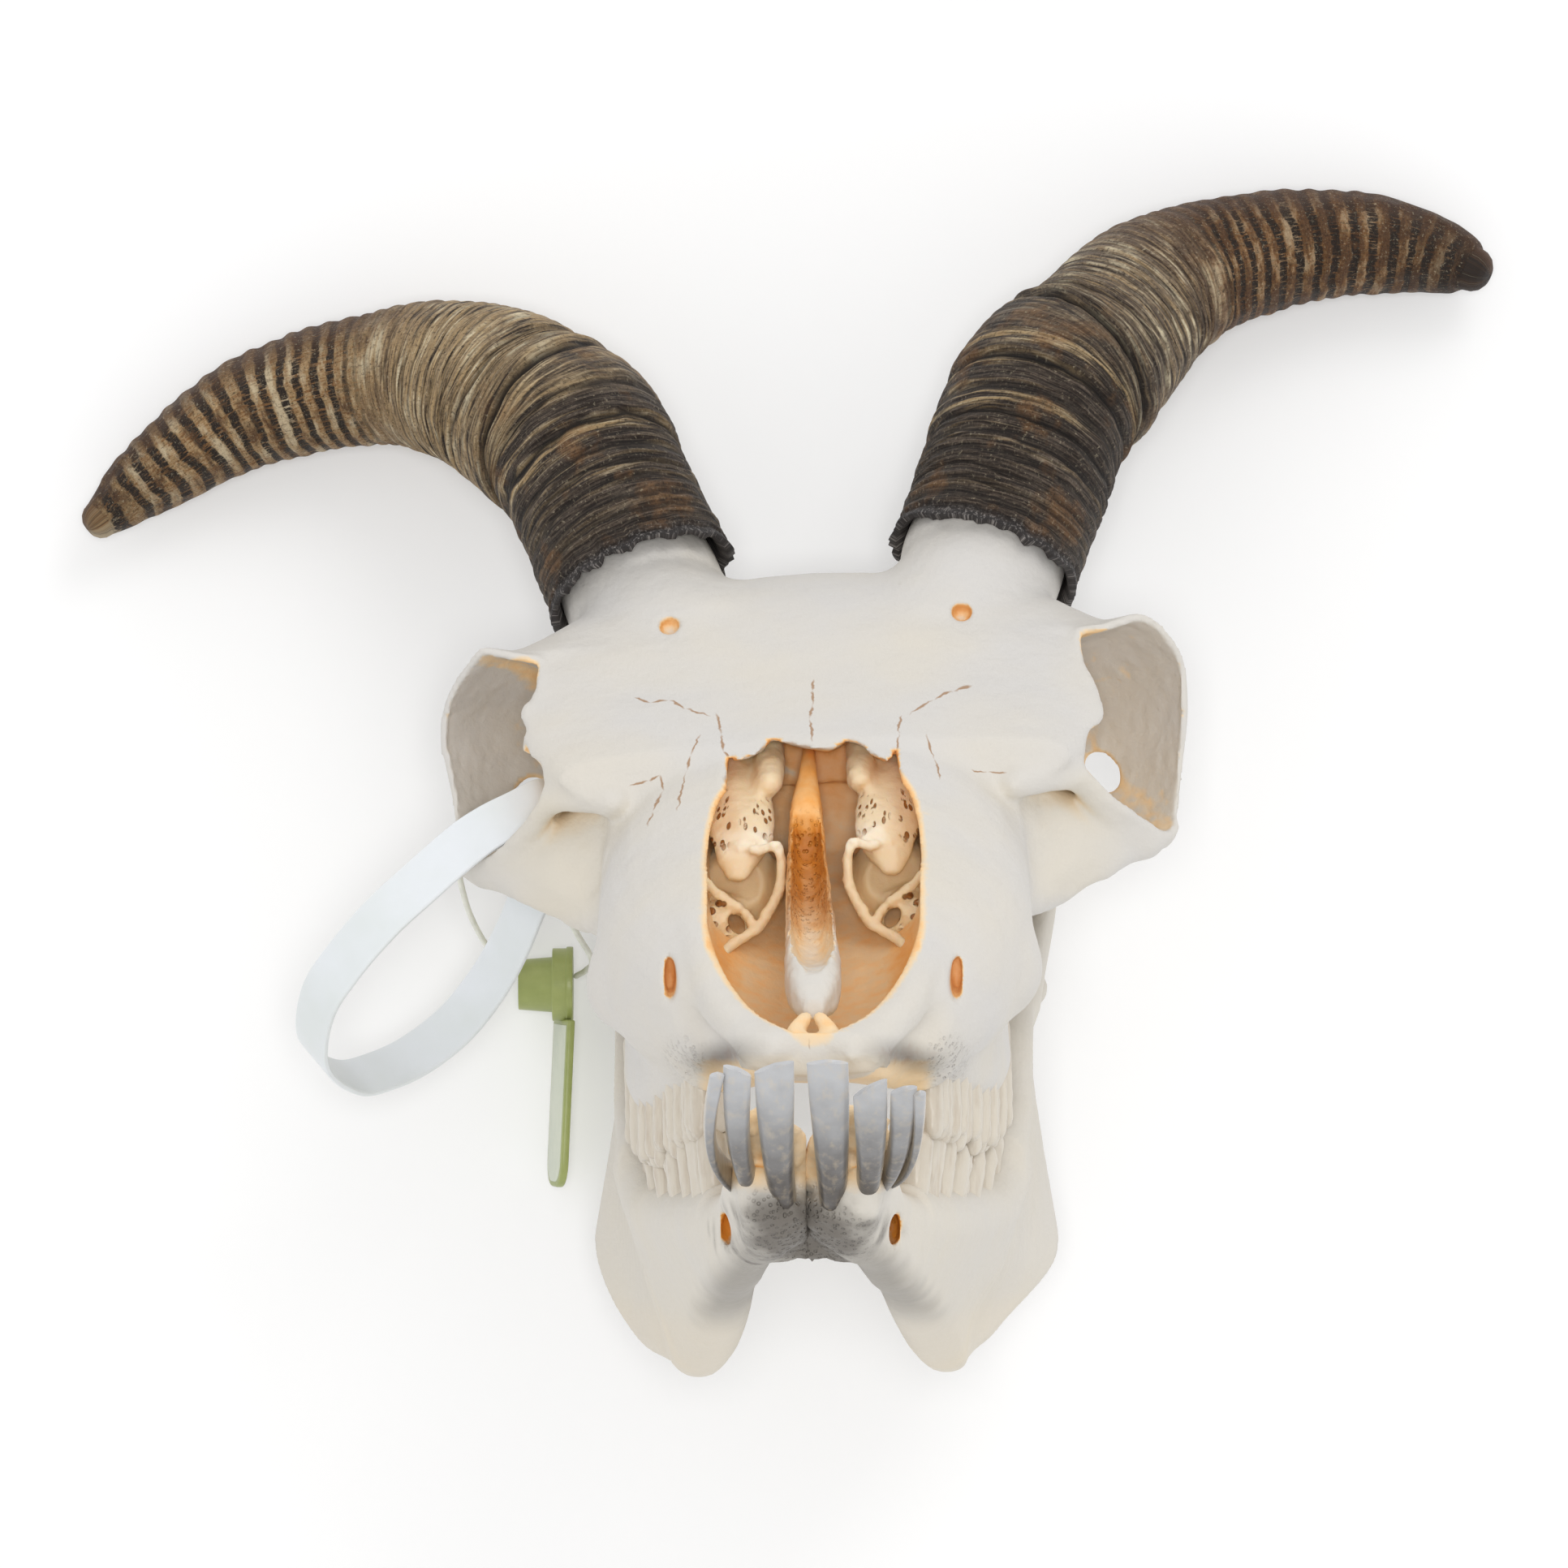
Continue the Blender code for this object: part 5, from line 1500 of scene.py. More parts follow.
@dataclass
class LowerJaw:
    """One half of the lower jaw, without its teeth."""

    side: Side
    voxel: float = 0.7
    triangles: int = 90_000
    low: Row = (-3.0, -110.0, 30.0)
    high: Row = (50.0, 4.0, 232.0)
    overlap: float = 0.5
    hole_radius: float = 2.8

    def model(self) -> bpy.types.Object:
        """Sculpt the half jaw.

        Returns:
            The half as one object.
        """
        clay = Clay(self.low, self.high, self.voxel)
        clay.add(plank(JAW_BODY), 2.0)
        clay.add(plank(JAW_RAMUS), 2.5)
        clay.add(limb(JAW_JOINT), 2.0)
        clay.add(limb(JAW_HOOK, Z_AXIS, 2.4), 2.5)
        inset = LOWER_TEETH_INSET
        clay.add(gum(lambda x, width, crown: (x - inset - 0.6, crown - 12.9, x - inset - 2.4, -80,
                                              width * 0.86 + 1.0)), 3.0)
        porous = Rough(1.1, 2.4, 31)
        clay.add(limb(CHIN, X_AXIS), 3.0, porous)
        clay.add(limb(CHIN_BRIDGE), 2.5, porous)
        clay.add(limb(TOOTH_BED, X_AXIS, 3.2), 1.5, Rough(0.6, 2.4, 33))
        hole, size = CHIN_HOLE[self.side], self.hole_radius
        clay.cut(limb([(hole, -74.0, 222, size), (hole - 2.4, -74.4, 190, size)], Y_AXIS, 2.2), 0.5)
        edge = JAW_MIDLINE * self.side.value - self.overlap
        clay.cut(Form(np.array([[(x, y, z) for y, z in ((-130, 0), (30, 0), (30, 260), (-130, 260))]
                                for x in (-9.0, edge)])), 0.3)
        jaw = skin_object("lower_jaw_" + self.side.word, clay, self.triangles)
        self._stain(jaw, put_on_side(jaw, self.side, turn_jaw))
        return jaw

    def _stain(self, jaw: bpy.types.Object, points: np.ndarray) -> None:
        """Store where the bone is cream, stained or grey, and where shade is painted in.

        Args:
            jaw: the half jaw.
            points: its points before the jaw was turned.
        """
        shut = hidden_share(jaw)
        x, y, z = points.T
        wide = np.abs(x)
        # The chin's porous joint is dark grey: part real colour, part painted shade.
        chin = 1 - smoothstep(np.hypot((x + 1.0) / 1.5, y + 75.0) + 2.2 * grit(points, 5.0, 41), 4.5, 10.5)
        # Painted shade on the lower inner faces, which turn away from the light.
        shade_path = spline(JAW_SHADE_PATH, 24)
        off = np.hypot(wide[:, None] - shade_path[:, 0], y[:, None] - shade_path[:, 1]).min(axis=1)
        under = smoothstep(-off - 0.9 * lumps(points, 5.0, 42), -7.0, -1.0) * smoothstep(y, -98, -88)
        tongue = smoothstep(y, -69, -64) * smoothstep(z, 204, 209)
        # The colour inside the chin hole is painted shade.
        canal = oval(wide, y, (15.0, -73.0), (3.0, 4.0), (0.6, 1.0)) * shut
        # Cream and stain where the jaw is shut in are painted shade.
        set_values(
            jaw,
            cream=0.3 + shut * 0.4 + 0.25 * smoothstep(-y, 80, 98),
            stain=0.8 * smoothstep(shut, 0.7, 1.1) + canal + 0.42 * tongue,
            grey=np.maximum(0.95 * chin, 0.62 * under) * (1 - tongue),
            pore=chin,
            dark=0.5 * chin * smoothstep(shut, 0.1, 0.6),
        )


INCISORS = (  # foot x, y, tip x, y, half width at the tip, slope of the edge, bow outwards
    (-11.6, -65.8, -14.6, -47.4, 1.2, 0.2, -2.2), (-7.6, -69.4, -11.3, -46.6, 2.3, -1.2, -1.3),
    (-3.5, -72.6, -5.3, -46.0, 3.25, 1.3, -0.4), (3.8, -73.2, 3.35, -45.4, 3.4, 0.0, 0.2),
    (8.6, -70.0, 10.3, -49.4, 2.8, 2.3, 0.5), (10.6, -66.0, 15.8, -49.7, 2.15, 0.9, 1.0),
    (12.9, -64.4, 18.4, -50.4, 1.0, 0.3, 1.2),
)


@dataclass
class Incisors:
    """The front teeth of the lower jaw, a fan of seven blades."""

    foot_z: float = 211.0
    tip_z: float = 245.0
    sections: int = 64
    around: int = 44
    bow_out: float = 1.3
    bow_down: float = 2.6

    def _blade(self, row: Row) -> Form:
        """One blade: a round root that flattens to a slanting chisel edge.

        Args:
            row: the tooth's row of sizes.

        Returns:
            The blade as a closed form.
        """
        foot_x, foot_y, tip_x, tip_y, half, slant, bow = row
        share = np.linspace(0, 1, self.sections)[:, None]
        foot = np.array((foot_x, foot_y, self.foot_z))
        tip = np.array((tip_x, tip_y, self.tip_z))
        path = foot + (tip - foot) * share
        path[:, 0:1] += bow * np.sin(np.pi * share) * self.bow_out
        path[:, 1:2] -= self.bow_down * np.sin(np.pi * share ** 0.9)
        forward = unit(np.gradient(path, axis=0))
        wide = unit(np.array(X_AXIS) - forward[:, :1] * forward)
        front = np.cross(wide, forward)
        girth = half * np.interp(share, (0, 0.25, 0.55, 0.85, 1), (0.62, 0.66, 0.82, 0.98, 1.0))
        depth = np.interp(share, (0, 0.3, 0.6, 0.85, 1), (2.3, 2.2, 1.7, 1.0, 0.45))
        turn = angles(self.around)
        flat = squared(np.cos(turn), 0.62)
        bulge = np.sin(turn) + 0.25 * (1 - flat**2) * (np.sin(turn) > 0)
        ridge = 1 + 0.05 * np.cos(turn * 6) * smoothstep(share, 0.3, 0.6)
        rings = path[:, None] + (girth * flat)[..., None] * wide[:, None]
        rings = rings + (depth * bulge * ridge)[..., None] * front[:, None]
        slope = slant * smoothstep(share, 0.55, 1.0) * flat
        slope = slope + 0.5 * (1 - np.abs(flat)) * smoothstep(share, 0.9, 1)
        rings += slope[..., None] * forward[:, None]
        lid = rings[-1].mean(axis=0)
        closed = [lid + (rings[-1] - lid) * size + 0.12 * forward[-1] * (1 - size) for size in (0.8, 0.35)]
        return Form(np.concatenate([rings, np.array(closed)]))

    def model(self) -> bpy.types.Object:
        """Sweep the fan.

        Returns:
            All seven teeth as one object.
        """
        blades = [self._blade(row).mesh() for row in INCISORS]
        starts = np.cumsum([0] + [len(points) for points, _, _ in blades])
        points = np.vstack([blade[0] for blade in blades])
        tris, quads = (np.vstack([blade[k] + start for blade, start in zip(blades, starts)]) for k in (1, 2))
        teeth = object_from("incisors", turn_jaw(points), tris, quads)
        turn_faces_out(teeth)
        shade_smooth(teeth, 50)
        # Darker towards the foot: part root colour, part painted shade.
        set_values(teeth, root=1 - smoothstep(points_of(teeth)[:, 1], -69, -46),
                   stain=0.55 * smoothstep(np.abs(normals_of(teeth)[:, 0]), 0.75, 0.98))
        return teeth


# --- Inside the nose ----------------------------------------------------------------------
SCROLL_RIM = (
    (13.0, -10.4, 131.5), (9.6, -11.2, 133), (6.6, -10.6, 133.6), (5.8, -13.6, 133.8), (5.8, -16.6, 134.4),
    (6.5, -19.4, 135), (8.0, -21.8, 135.6), (10.2, -24.8, 136.6), (13.6, -26.8, 138), (15.6, -28.6, 139.5),
)
SCROLL_TROUGH = ((8.6, -13.6, 133, 2.6), (11.2, -15.6, 131.5, 4.9), (16, -13.8, 131.5, 4.9),
                 (22, -10.5, 132, 4.9))
SCROLL_BRANCH = (
    (19.4, -15.8, 134, 0.9), (16.3, -18.8, 134, 0.9), (14.0, -20.4, 134.6, 0.9),
    (11.8, -22.0, 135.2, 0.9), (10.6, -24.2, 136, 0.9),
)
SCROLL_HOLE = ((13.5, -23.6, 112, 1.9), (13.5, -23.6, 150, 1.9))
INNER_LOBE = ((8.0, 9, 104, 2.4), (8.0, 4, 113, 2.7), (8.0, 0.3, 119.5, 2.4))
LOBE_FOLD = ((10.0, 6, 108, 0.7), (10.2, 1.0, 118, 0.8), (9.6, -1.8, 121, 0.8))
OUTER_LOBE = (
    (13.5, 8, 104, 4.6), (13.8, 2, 112, 5.2), (13.0, -4, 120, 5.8),
    (12.6, -9, 127, 5.4), (13.2, -13, 131, 3.6), (13.4, -15.2, 132.3, 2.2),
)
LOBE_RIB = ((13.4, 5, 110.4, 0.8), (13.8, -1, 118.6, 0.9), (12.8, -7.5, 127.8, 1.0), (9.0, -10.2, 131.2, 1.2))
LOBE_SLITS = (  # middle and half size of each patch of slits
    ((9.6, -5.6), (3.4, 3.6)), ((16.8, -5.5), (2.6, 6.0)), ((17.5, -23.0), (3.4, 5.0)),
)
LOBE_APEX = (12.4, 5.0)
VOMER_OUTER = (  # z, x, y, half width, half height
    (118, -1.6, -7.0, 2.6, 7.5), (128, -1.7, -11.5, 3.1, 7.5), (145, -1.4, -20.5, 3.8, 7.2),
    (165, -0.9, -29.0, 4.4, 6.4), (176, -0.7, -32.2, 4.8, 5.4), (186, -0.6, -34.6, 4.4, 4.4),
    (192, -0.6, -36.4, 3.2, 3.0), (196, -0.6, -37.6, 1.6, 1.6),
)
VOMER_INNER = (
    (120, -1.7, -1.4, 1.9, 5.0), (130, -1.7, -6.2, 2.4, 6.8), (145, -1.4, -14.0, 3.0, 7.4),
    (160, -1.0, -21.6, 3.5, 7.4), (172, -0.8, -26.0, 3.6, 5.2), (181, -0.7, -28.6, 2.8, 2.4),
    (189, -0.7, -31.0, 1.4, 1.0),
)
NOSE_PARTITION = (
    (98, -1.2, 6, -1.2, -6, 1.1), (112, -1.3, 5, -1.5, -12, 1.2), (120, -1.5, -1, -1.7, -15, 1.9),
    (126, -1.7, -5, -1.7, -17, 2.2), (130, -1.7, -9, -1.7, -18, 1.2),
)


def sheet_wall(path: Rows, thick: float, steps: int = 5) -> Form:
    """A thin standing wall.

    Args:
        path: rows of x, y, top z and bottom z.
        thick: the wall's thickness.
        steps: sections between two rows.

    Returns:
        The form.
    """
    rows = spline(path, steps)
    forward = unit(np.gradient(rows[:, :2], axis=0))
    half = RING_POINTS // 2
    rings = []
    for (x, y, top, foot), (fx, fy) in zip(rows, forward):
        ring = []
        for centre, start in ((top, 0.0), (foot, np.pi)):
            turn = start + np.pi * np.arange(half) / (half - 1)
            side = np.cos(turn) * thick / 2
            ring.append(np.stack([x - fy * side, y + fx * side, centre + np.sin(turn) * thick / 2], axis=1))
        rings.append(np.vstack(ring))
    return Form(np.array(rings))


@dataclass
class Concha:
    """The ethmoid lobe, pierced plate and scrolls on one side of the nose."""

    side: Side
    voxel: float = 0.4
    triangles: int = 80_000
    low: Row = (2.0, -34.0, 92.0)
    high: Row = (25.0, 12.0, 152.0)
    wall_height: float = 20.0
    fan_scale: Row = (10.0, 0.42)

    def model(self) -> bpy.types.Object:
        """Sculpt the scrolls.

        Returns:
            The scrolls as one object.
        """
        clay = Clay(self.low, self.high, self.voxel)
        grain = Rough(0.18, 2.0, 41 + self.side.value)
        clay.add(sheet_wall([(x, y, z, z - self.wall_height) for x, y, z in SCROLL_RIM[2:]], 1.0), 1.0)
        clay.add(ball((13.6, -18.0, 119.0), (8.0, 9.0, 10.5)), 1.2)
        clay.cut(limb(SCROLL_TROUGH, Z_AXIS, 0.85), 0.8)
        clay.add(limb(INNER_LOBE), 0.6, grain)
        clay.add(limb(LOBE_FOLD), 0.6)
        clay.add(limb(OUTER_LOBE, X_AXIS, 1.8), 1.0, grain)
        clay.add(limb(LOBE_RIB), 1.4)
        clay.add(limb([(*point, 0.8) for point in SCROLL_RIM]), 0.9, Rough(0.35, 1.2, 43))
        clay.add(ball((16.2, -23.6, 126), (5.2, 5.6, 10)), 1.0, Rough(0.5, 1.6, 44))
        clay.cut(limb(SCROLL_HOLE, (0.6, 1, 0), 1.5), 0.4)
        clay.add(limb(SCROLL_BRANCH), 0.8, Rough(0.3, 1.0, 45))
        concha = skin_object("concha_" + self.side.word, clay, self.triangles)
        self._stain(concha)
        return concha

    def _stain(self, concha: bpy.types.Object) -> None:
        """Put the piece on its side and store where it is pale, stained and torn, and where shade is painted
        in.

        Args:
            concha: the piece as modelled, on the animal's left.
        """
        shut = hidden_share(concha, 0.6)
        x, y, _ = points_of(concha).T
        placed = put_on_side(concha, self.side, lean_crown)
        right, down = x - LOBE_APEX[0], y - LOBE_APEX[1]
        turn, away = self.fan_scale
        fan = [np.arctan2(right, -down) * turn, np.hypot(right, down) * away, np.zeros(len(x))]
        pale = smoothstep(y, -13, -10) * smoothstep(-y, 6.5, 9) * smoothstep(-placed[:, 0], -13, -11)
        # Cream and amber where the piece is shut in are painted shade; the amber also rises towards the top.
        set_values(
            concha,
            cream=0.45 + 0.4 * shut - 0.6 * pale,
            stain=0.35 * shut + 0.3 * smoothstep(y, -4, 8),
            slit=sum(oval(x, y, middle, size, (0.7, 1.15)) for middle, size in LOBE_SLITS),
        )
        set_vectors(concha, "fan", np.stack(fan, axis=1))


@dataclass
class Vomer:
    """The bar and open trough down the middle of the nose."""

    voxel: float = 0.45
    triangles: int = 60_000
    low: Row = (-12.0, -54.0, 92.0)
    high: Row = (12.0, 14.0, 214.0)

    def model(self) -> bpy.types.Object:
        """Sculpt the trough.

        Returns:
            The vomer as one object.
        """
        clay = Clay(self.low, self.high, self.voxel)
        trough = hull(VOMER_INNER)
        clay.add(hull(VOMER_OUTER, 3.0), 1.0, Rough(0.2, 2.5, 51))
        clay.cut(trough, 0.5, Rough(0.25, 2.0, 52))
        clay.add(plank(NOSE_PARTITION), 1.2)
        vomer = skin_object("vomer", clay, self.triangles)
        points = points_of(vomer)
        y = points[:, 1]
        shut = hidden_share(vomer, 0.6)
        hollow = nearness(trough, points, 1.2) * smoothstep(-y, 2, 10) * smoothstep(y, -30, -20)
        # Cream and stain where shut in are painted shade; the stain towards the top is the nose's warm colour,
        # partly real stain and partly painted glow.
        set_values(vomer, cream=0.5 * shut + 0.1, stain=0.5 * shut + 0.7 * smoothstep(y, -36, -8),
                   dark=0.62 * hollow, pore=hollow)
        return vomer


# --- Horns -----------------------------------------------------------------------------
HORN_RIGHT = (  # x, y, z, radius; the animal's right horn lies at -X
    (-31.2, 35.9, 52.4, 17.0), (-34.8, 43.9, 49.0, 16.6), (-39.1, 53.1, 44.0, 16.5),
    (-43.9, 62.1, 38.0, 17.1), (-51.4, 67.3, 32.0, 16.5), (-58.2, 71.7, 27.0, 15.9),
    (-69.7, 74.7, 20.5, 13.9), (-81.4, 74.4, 15.8, 12.0), (-94.4, 71.7, 13.2, 11.1),
    (-107.6, 66.7, 11.6, 9.7), (-123.3, 55.8, 11.4, 6.7), (-128.3, 51.4, 12.0, 5.0),
    (-131.4, 48.8, 12.8, 3.6),
)
STEPS_RIGHT = (  # how far along, depth and width of the deeper growth rings
    (1.8, 0.4, 0.4), (4.0, 0.4, 0.4), (6.2, 0.45, 0.45), (8.6, 0.5, 0.5), (11.4, 0.5, 0.5),
    (14.6, 0.6, 0.5), (17.8, 0.6, 0.6), (23.8, 1.0, 0.8), (30.0, 0.5, 0.6), (37.5, 1.4, 0.9),
    (46.0, 0.5, 0.6),
)
STEPS_LEFT = (
    (1.8, 0.5, 0.5), (4.2, 0.5, 0.5), (6.6, 0.4, 0.45), (9.0, 0.5, 0.5), (12.2, 0.5, 0.5),
    (15.6, 0.55, 0.5), (19.8, 0.9, 0.7), (25.0, 0.6, 0.6), (31.0, 1.1, 0.7), (44.0, 1.9, 0.9),
    (50.0, 0.4, 0.6),
)
HORN_LEFT = (
    (30.6, 40.0, 53.0, 17.0), (33.4, 47.6, 50.0, 16.8), (35.9, 55.1, 46.5, 16.9),
    (39.2, 64.1, 41.5, 17.0), (43.3, 71.7, 36.5, 17.3), (50.4, 78.0, 31.0, 15.8),
    (59.5, 88.0, 23.5, 14.5), (65.8, 92.1, 19.5, 13.4), (72.3, 95.0, 16.5, 12.2),
    (84.7, 98.3, 13.2, 10.9), (96.8, 99.6, 11.5, 9.7), (109.1, 98.7, 10.8, 8.2),
    (118.3, 96.1, 11.8, 6.1), (121.0, 94.9, 12.6, 4.2),
)


@dataclass
class Horn:
    """One horn sheath: a swept cone with rings, steps and a frayed lip."""

    side: Side
    stations: tuple[Row, ...]
    steps: tuple[Row, ...]
    seed: int
    around: int = 132
    grain: float = 0.36
    wall: float = 1.6
    lip: float = 0.5
    lining: Row = (0.0, 0.8, 2.5, 5.0, 9.0, 14.0, 19.0, 24.0)
    tip: tuple[Row, ...] = ((0.35, 0.93), (0.62, 0.76), (0.8, 0.5), (0.86, 0.2))
    gap_at: Row = (0.0, 0.3, 0.45, 0.58, 1.0)
    gap: Row = (1.25, 1.5, 2.1, 3.2, 5.0)
    relief_at: Row = (0.0, 0.3, 0.42, 0.75, 0.92, 1.0)
    relief: Row = (0.45, 0.5, 0.55, 0.55, 0.25, 0.1)

    def _spine(self) -> tuple[np.ndarray, np.ndarray, np.ndarray, np.ndarray]:
        """How far along each ring stands, its centre and radius, and two cross directions.

        Returns:
            The four of them, one row for each ring.
        """
        rows = spline(self.stations, 24)
        gone = np.concatenate([[0], np.cumsum(np.linalg.norm(np.diff(rows[:, :3], axis=0), axis=1))])
        even = np.linspace(0, gone[-1], int(gone[-1] / self.grain))
        rows = np.stack([np.interp(even, gone, rows[:, k]) for k in range(4)], axis=1)
        forward = unit(np.gradient(rows[:, :3], axis=0))
        depth = np.array(Z_AXIS)
        u = unit(depth - (forward @ depth)[:, None] * forward)
        return even, rows, u, np.cross(forward, u)

    def _ring_places(self, length: float) -> np.ndarray:
        """Places of the fine ridges: crowded near the base, wide towards the end.

        Args:
            length: the sheath's length in mm.

        Returns:
            How far along each ridge lies.
        """
        rng = np.random.default_rng(self.seed)
        places = [1.0]
        while places[-1] < length:
            gap = np.interp(places[-1] / length, self.gap_at, self.gap)
            places.append(places[-1] + gap * rng.uniform(0.75, 1.25))
        return np.array(places)

    def _relief(self, along: np.ndarray, turn: np.ndarray) -> tuple[np.ndarray, np.ndarray, np.ndarray]:
        """Height of the surface, its grooves and its rows of marks, on the whole grid.

        Args:
            along: how far along each ring stands.
            turn: the angles once round.

        Returns:
            The three of them, one row for each ring.
        """
        s, angle = np.meshgrid(along, turn, indexing="ij")
        flat = np.stack([s.ravel() * 0.35, 6 * np.cos(angle).ravel(), 6 * np.sin(angle).ravel()], axis=1)

        def noise(stretch: Row, size: float, which: int) -> np.ndarray:
            """Lumps on the grid, stretched along and across."""
            return lumps(flat * stretch, size, self.seed + which).reshape(s.shape)

        wander = s + noise((1, 1, 1), 4.0, 1) + 0.35 * noise((1, 3, 3), 3.0, 2)
        share = s / along[-1]
        places = self._ring_places(along[-1])
        spot = np.searchsorted(places, wander).clip(1, len(places) - 1)
        part = (wander - places[spot - 1]) / (places[spot] - places[spot - 1])
        ridge = 0.5 - 0.5 * np.cos(2 * np.pi * np.clip(part, 0, 1))
        strength = np.clip(0.6 + 0.5 * noise((0.5, 1, 1), 3.0, 3), 0.15, 1.1)
        lift = np.interp(share, self.relief_at, self.relief) * strength * (ridge - 0.5)
        marks = smoothstep(-ridge, -0.62, -0.30) * smoothstep(share, 0.52, 0.62)
        # The finish paints the grooves dark as shade.
        groove = 0.9 * smoothstep(-ridge, -0.26, -0.02) * (1 - 0.7 * smoothstep(share, 0.45, 0.62)) * strength
        for place, deep, wide in self.steps:
            off = wander - place
            lift -= deep * (np.exp(-((off / wide) ** 2)) - 0.45 * np.exp(-(((off - 2.2) / 2.4) ** 2)))
            groove = np.maximum(groove, min(deep, 1) ** 0.5 * np.exp(-((off / (wide * 0.9)) ** 2)))
        lift += 0.35 * noise((1, 1, 1), 1.6, 4)
        return lift * (1 - 0.7 * smoothstep(share, 0.93, 1.0)), groove, marks

    def model(self) -> bpy.types.Object:
        """Sweep the sheath.

        Returns:
            The horn as one object.
        """
        along, rows, u, v = self._spine()
        turn = angles(self.around)
        lift, groove, marks = self._relief(along, turn)
        circle = np.stack([np.cos(turn), np.sin(turn), 0 * turn], axis=1)
        edge = lumps(9 * circle, 1.6, self.seed + 5) + 0.6 * lumps(20 * circle, 1.2, self.seed)
        forward = np.cross(u, v)[:, None]
        base = np.clip(1 - along / 9.0, 0, 1)[:, None] ** 2
        flare = 0.7 * np.exp(-((along / 1.6) ** 2))[:, None]
        radius = rows[:, 3:] + lift + flare + 0.5 * base * edge
        out = np.cos(turn)[:, None] * u[:, None] * HORN_DEPTH_RATIO + np.sin(turn)[:, None] * v[:, None]
        shift = (-base * 0.9 * (edge + 0.4))[..., None] * forward
        middle = rows[:, None, :3]
        skin = middle + radius[..., None] * out + shift
        picks = np.searchsorted(along, self.lining)
        thick = np.where(picks > 0, self.wall, self.lip)[:, None, None]
        back = np.where(picks > 0, 0.0, 0.35)[:, None, None]
        inner = (middle + shift)[picks] + out[picks] * (rows[picks, None, 3:] - thick) - back * forward[picks]
        end = rows[-1, 3]
        tip = [middle[-1] + out[-1] * end * size + forward[-1] * end * ahead for ahead, size in self.tip]
        rings = np.concatenate([inner[::-1], skin, np.array(tip)])
        horn = object_from("horn_" + self.side.word, *Form(rings).mesh())
        turn_faces_out(horn)
        horn.data.shade_smooth()
        self._store(horn, along, turn, groove, marks, rows)
        return horn

    def _store(self, horn: bpy.types.Object, along: np.ndarray, turn: np.ndarray, groove: np.ndarray,
               marks: np.ndarray, rows: np.ndarray) -> None:
        """Store the numbers that the horn's finish reads.

        Args:
            horn: the sheath.
            along: how far along each ring stands.
            turn: the angles once round.
            groove: how deep in a groove each grid point lies.
            marks: how dark a row of marks is there.
            rows: each ring's centre and radius.
        """

        def spread(grid: np.ndarray, low: float | None = None) -> np.ndarray:
            """A grid value for every point, ends and poles included."""
            first = grid[:1] if low is None else np.full_like(grid[:1], low)
            first = np.repeat(first, len(self.lining), axis=0)
            full = np.concatenate([first, grid, np.repeat(grid[-1:], len(self.tip), axis=0)])
            return np.concatenate([full.ravel(), [full[0, 0], full[-1, 0]]])

        s, angle = np.meshgrid(along, turn, indexing="ij")
        share, girth = s / along[-1], rows[:, 3:]
        keel = smoothstep(np.sin(angle) * self._convex(rows), 0.35, 0.92) * smoothstep(share, 0.42, 0.6)
        set_values(horn, along=spread(share, 0.0), groove=spread(groove, 1.0), row=spread(marks),
                   keel=spread(keel))
        places = (s, girth * np.cos(angle), girth * np.sin(angle))
        set_vectors(horn, "straight", np.stack([spread(place) for place in places], axis=1))

    def _convex(self, rows: np.ndarray) -> float:
        """Which way round the ring the horn's outer bend lies, 1 or -1."""
        forward = np.gradient(rows[:, :3], axis=0)[len(rows) // 2]
        return 1.0 if np.cross(forward, Z_AXIS)[1] > 0 else -1.0


# --- What the skull wears ---------------------------------------------------------------
BAND_AXIS = unit((-0.60, 0.68, -0.42))
BAND_ROUTE = (  # the edge nearest the nose, once round the cheek bone
    (-49.2, -7.8, 98.5), (-54.4, -10.4, 98.2), (-59.6, -13.9, 97.0), (-67.6, -20.9, 96.6),
    (-74.0, -26.8, 96.3), (-80.6, -34.3, 93.0), (-85.6, -42.0, 87.0), (-86.8, -51.1, 75.0),
    (-81.5, -55.8, 60.5), (-75.6, -54.9, 53.0), (-69.1, -51.8, 48.8), (-62.1, -46.2, 47.8),
    (-56.0, -38.5, 51.5), (-51.7, -30.8, 58.0), (-47.7, -21.7, 67.0), (-42.6, -12.5, 78.0),
    (-41.2, -6.6, 90.0), (-44.0, -5.4, 97.0),
)


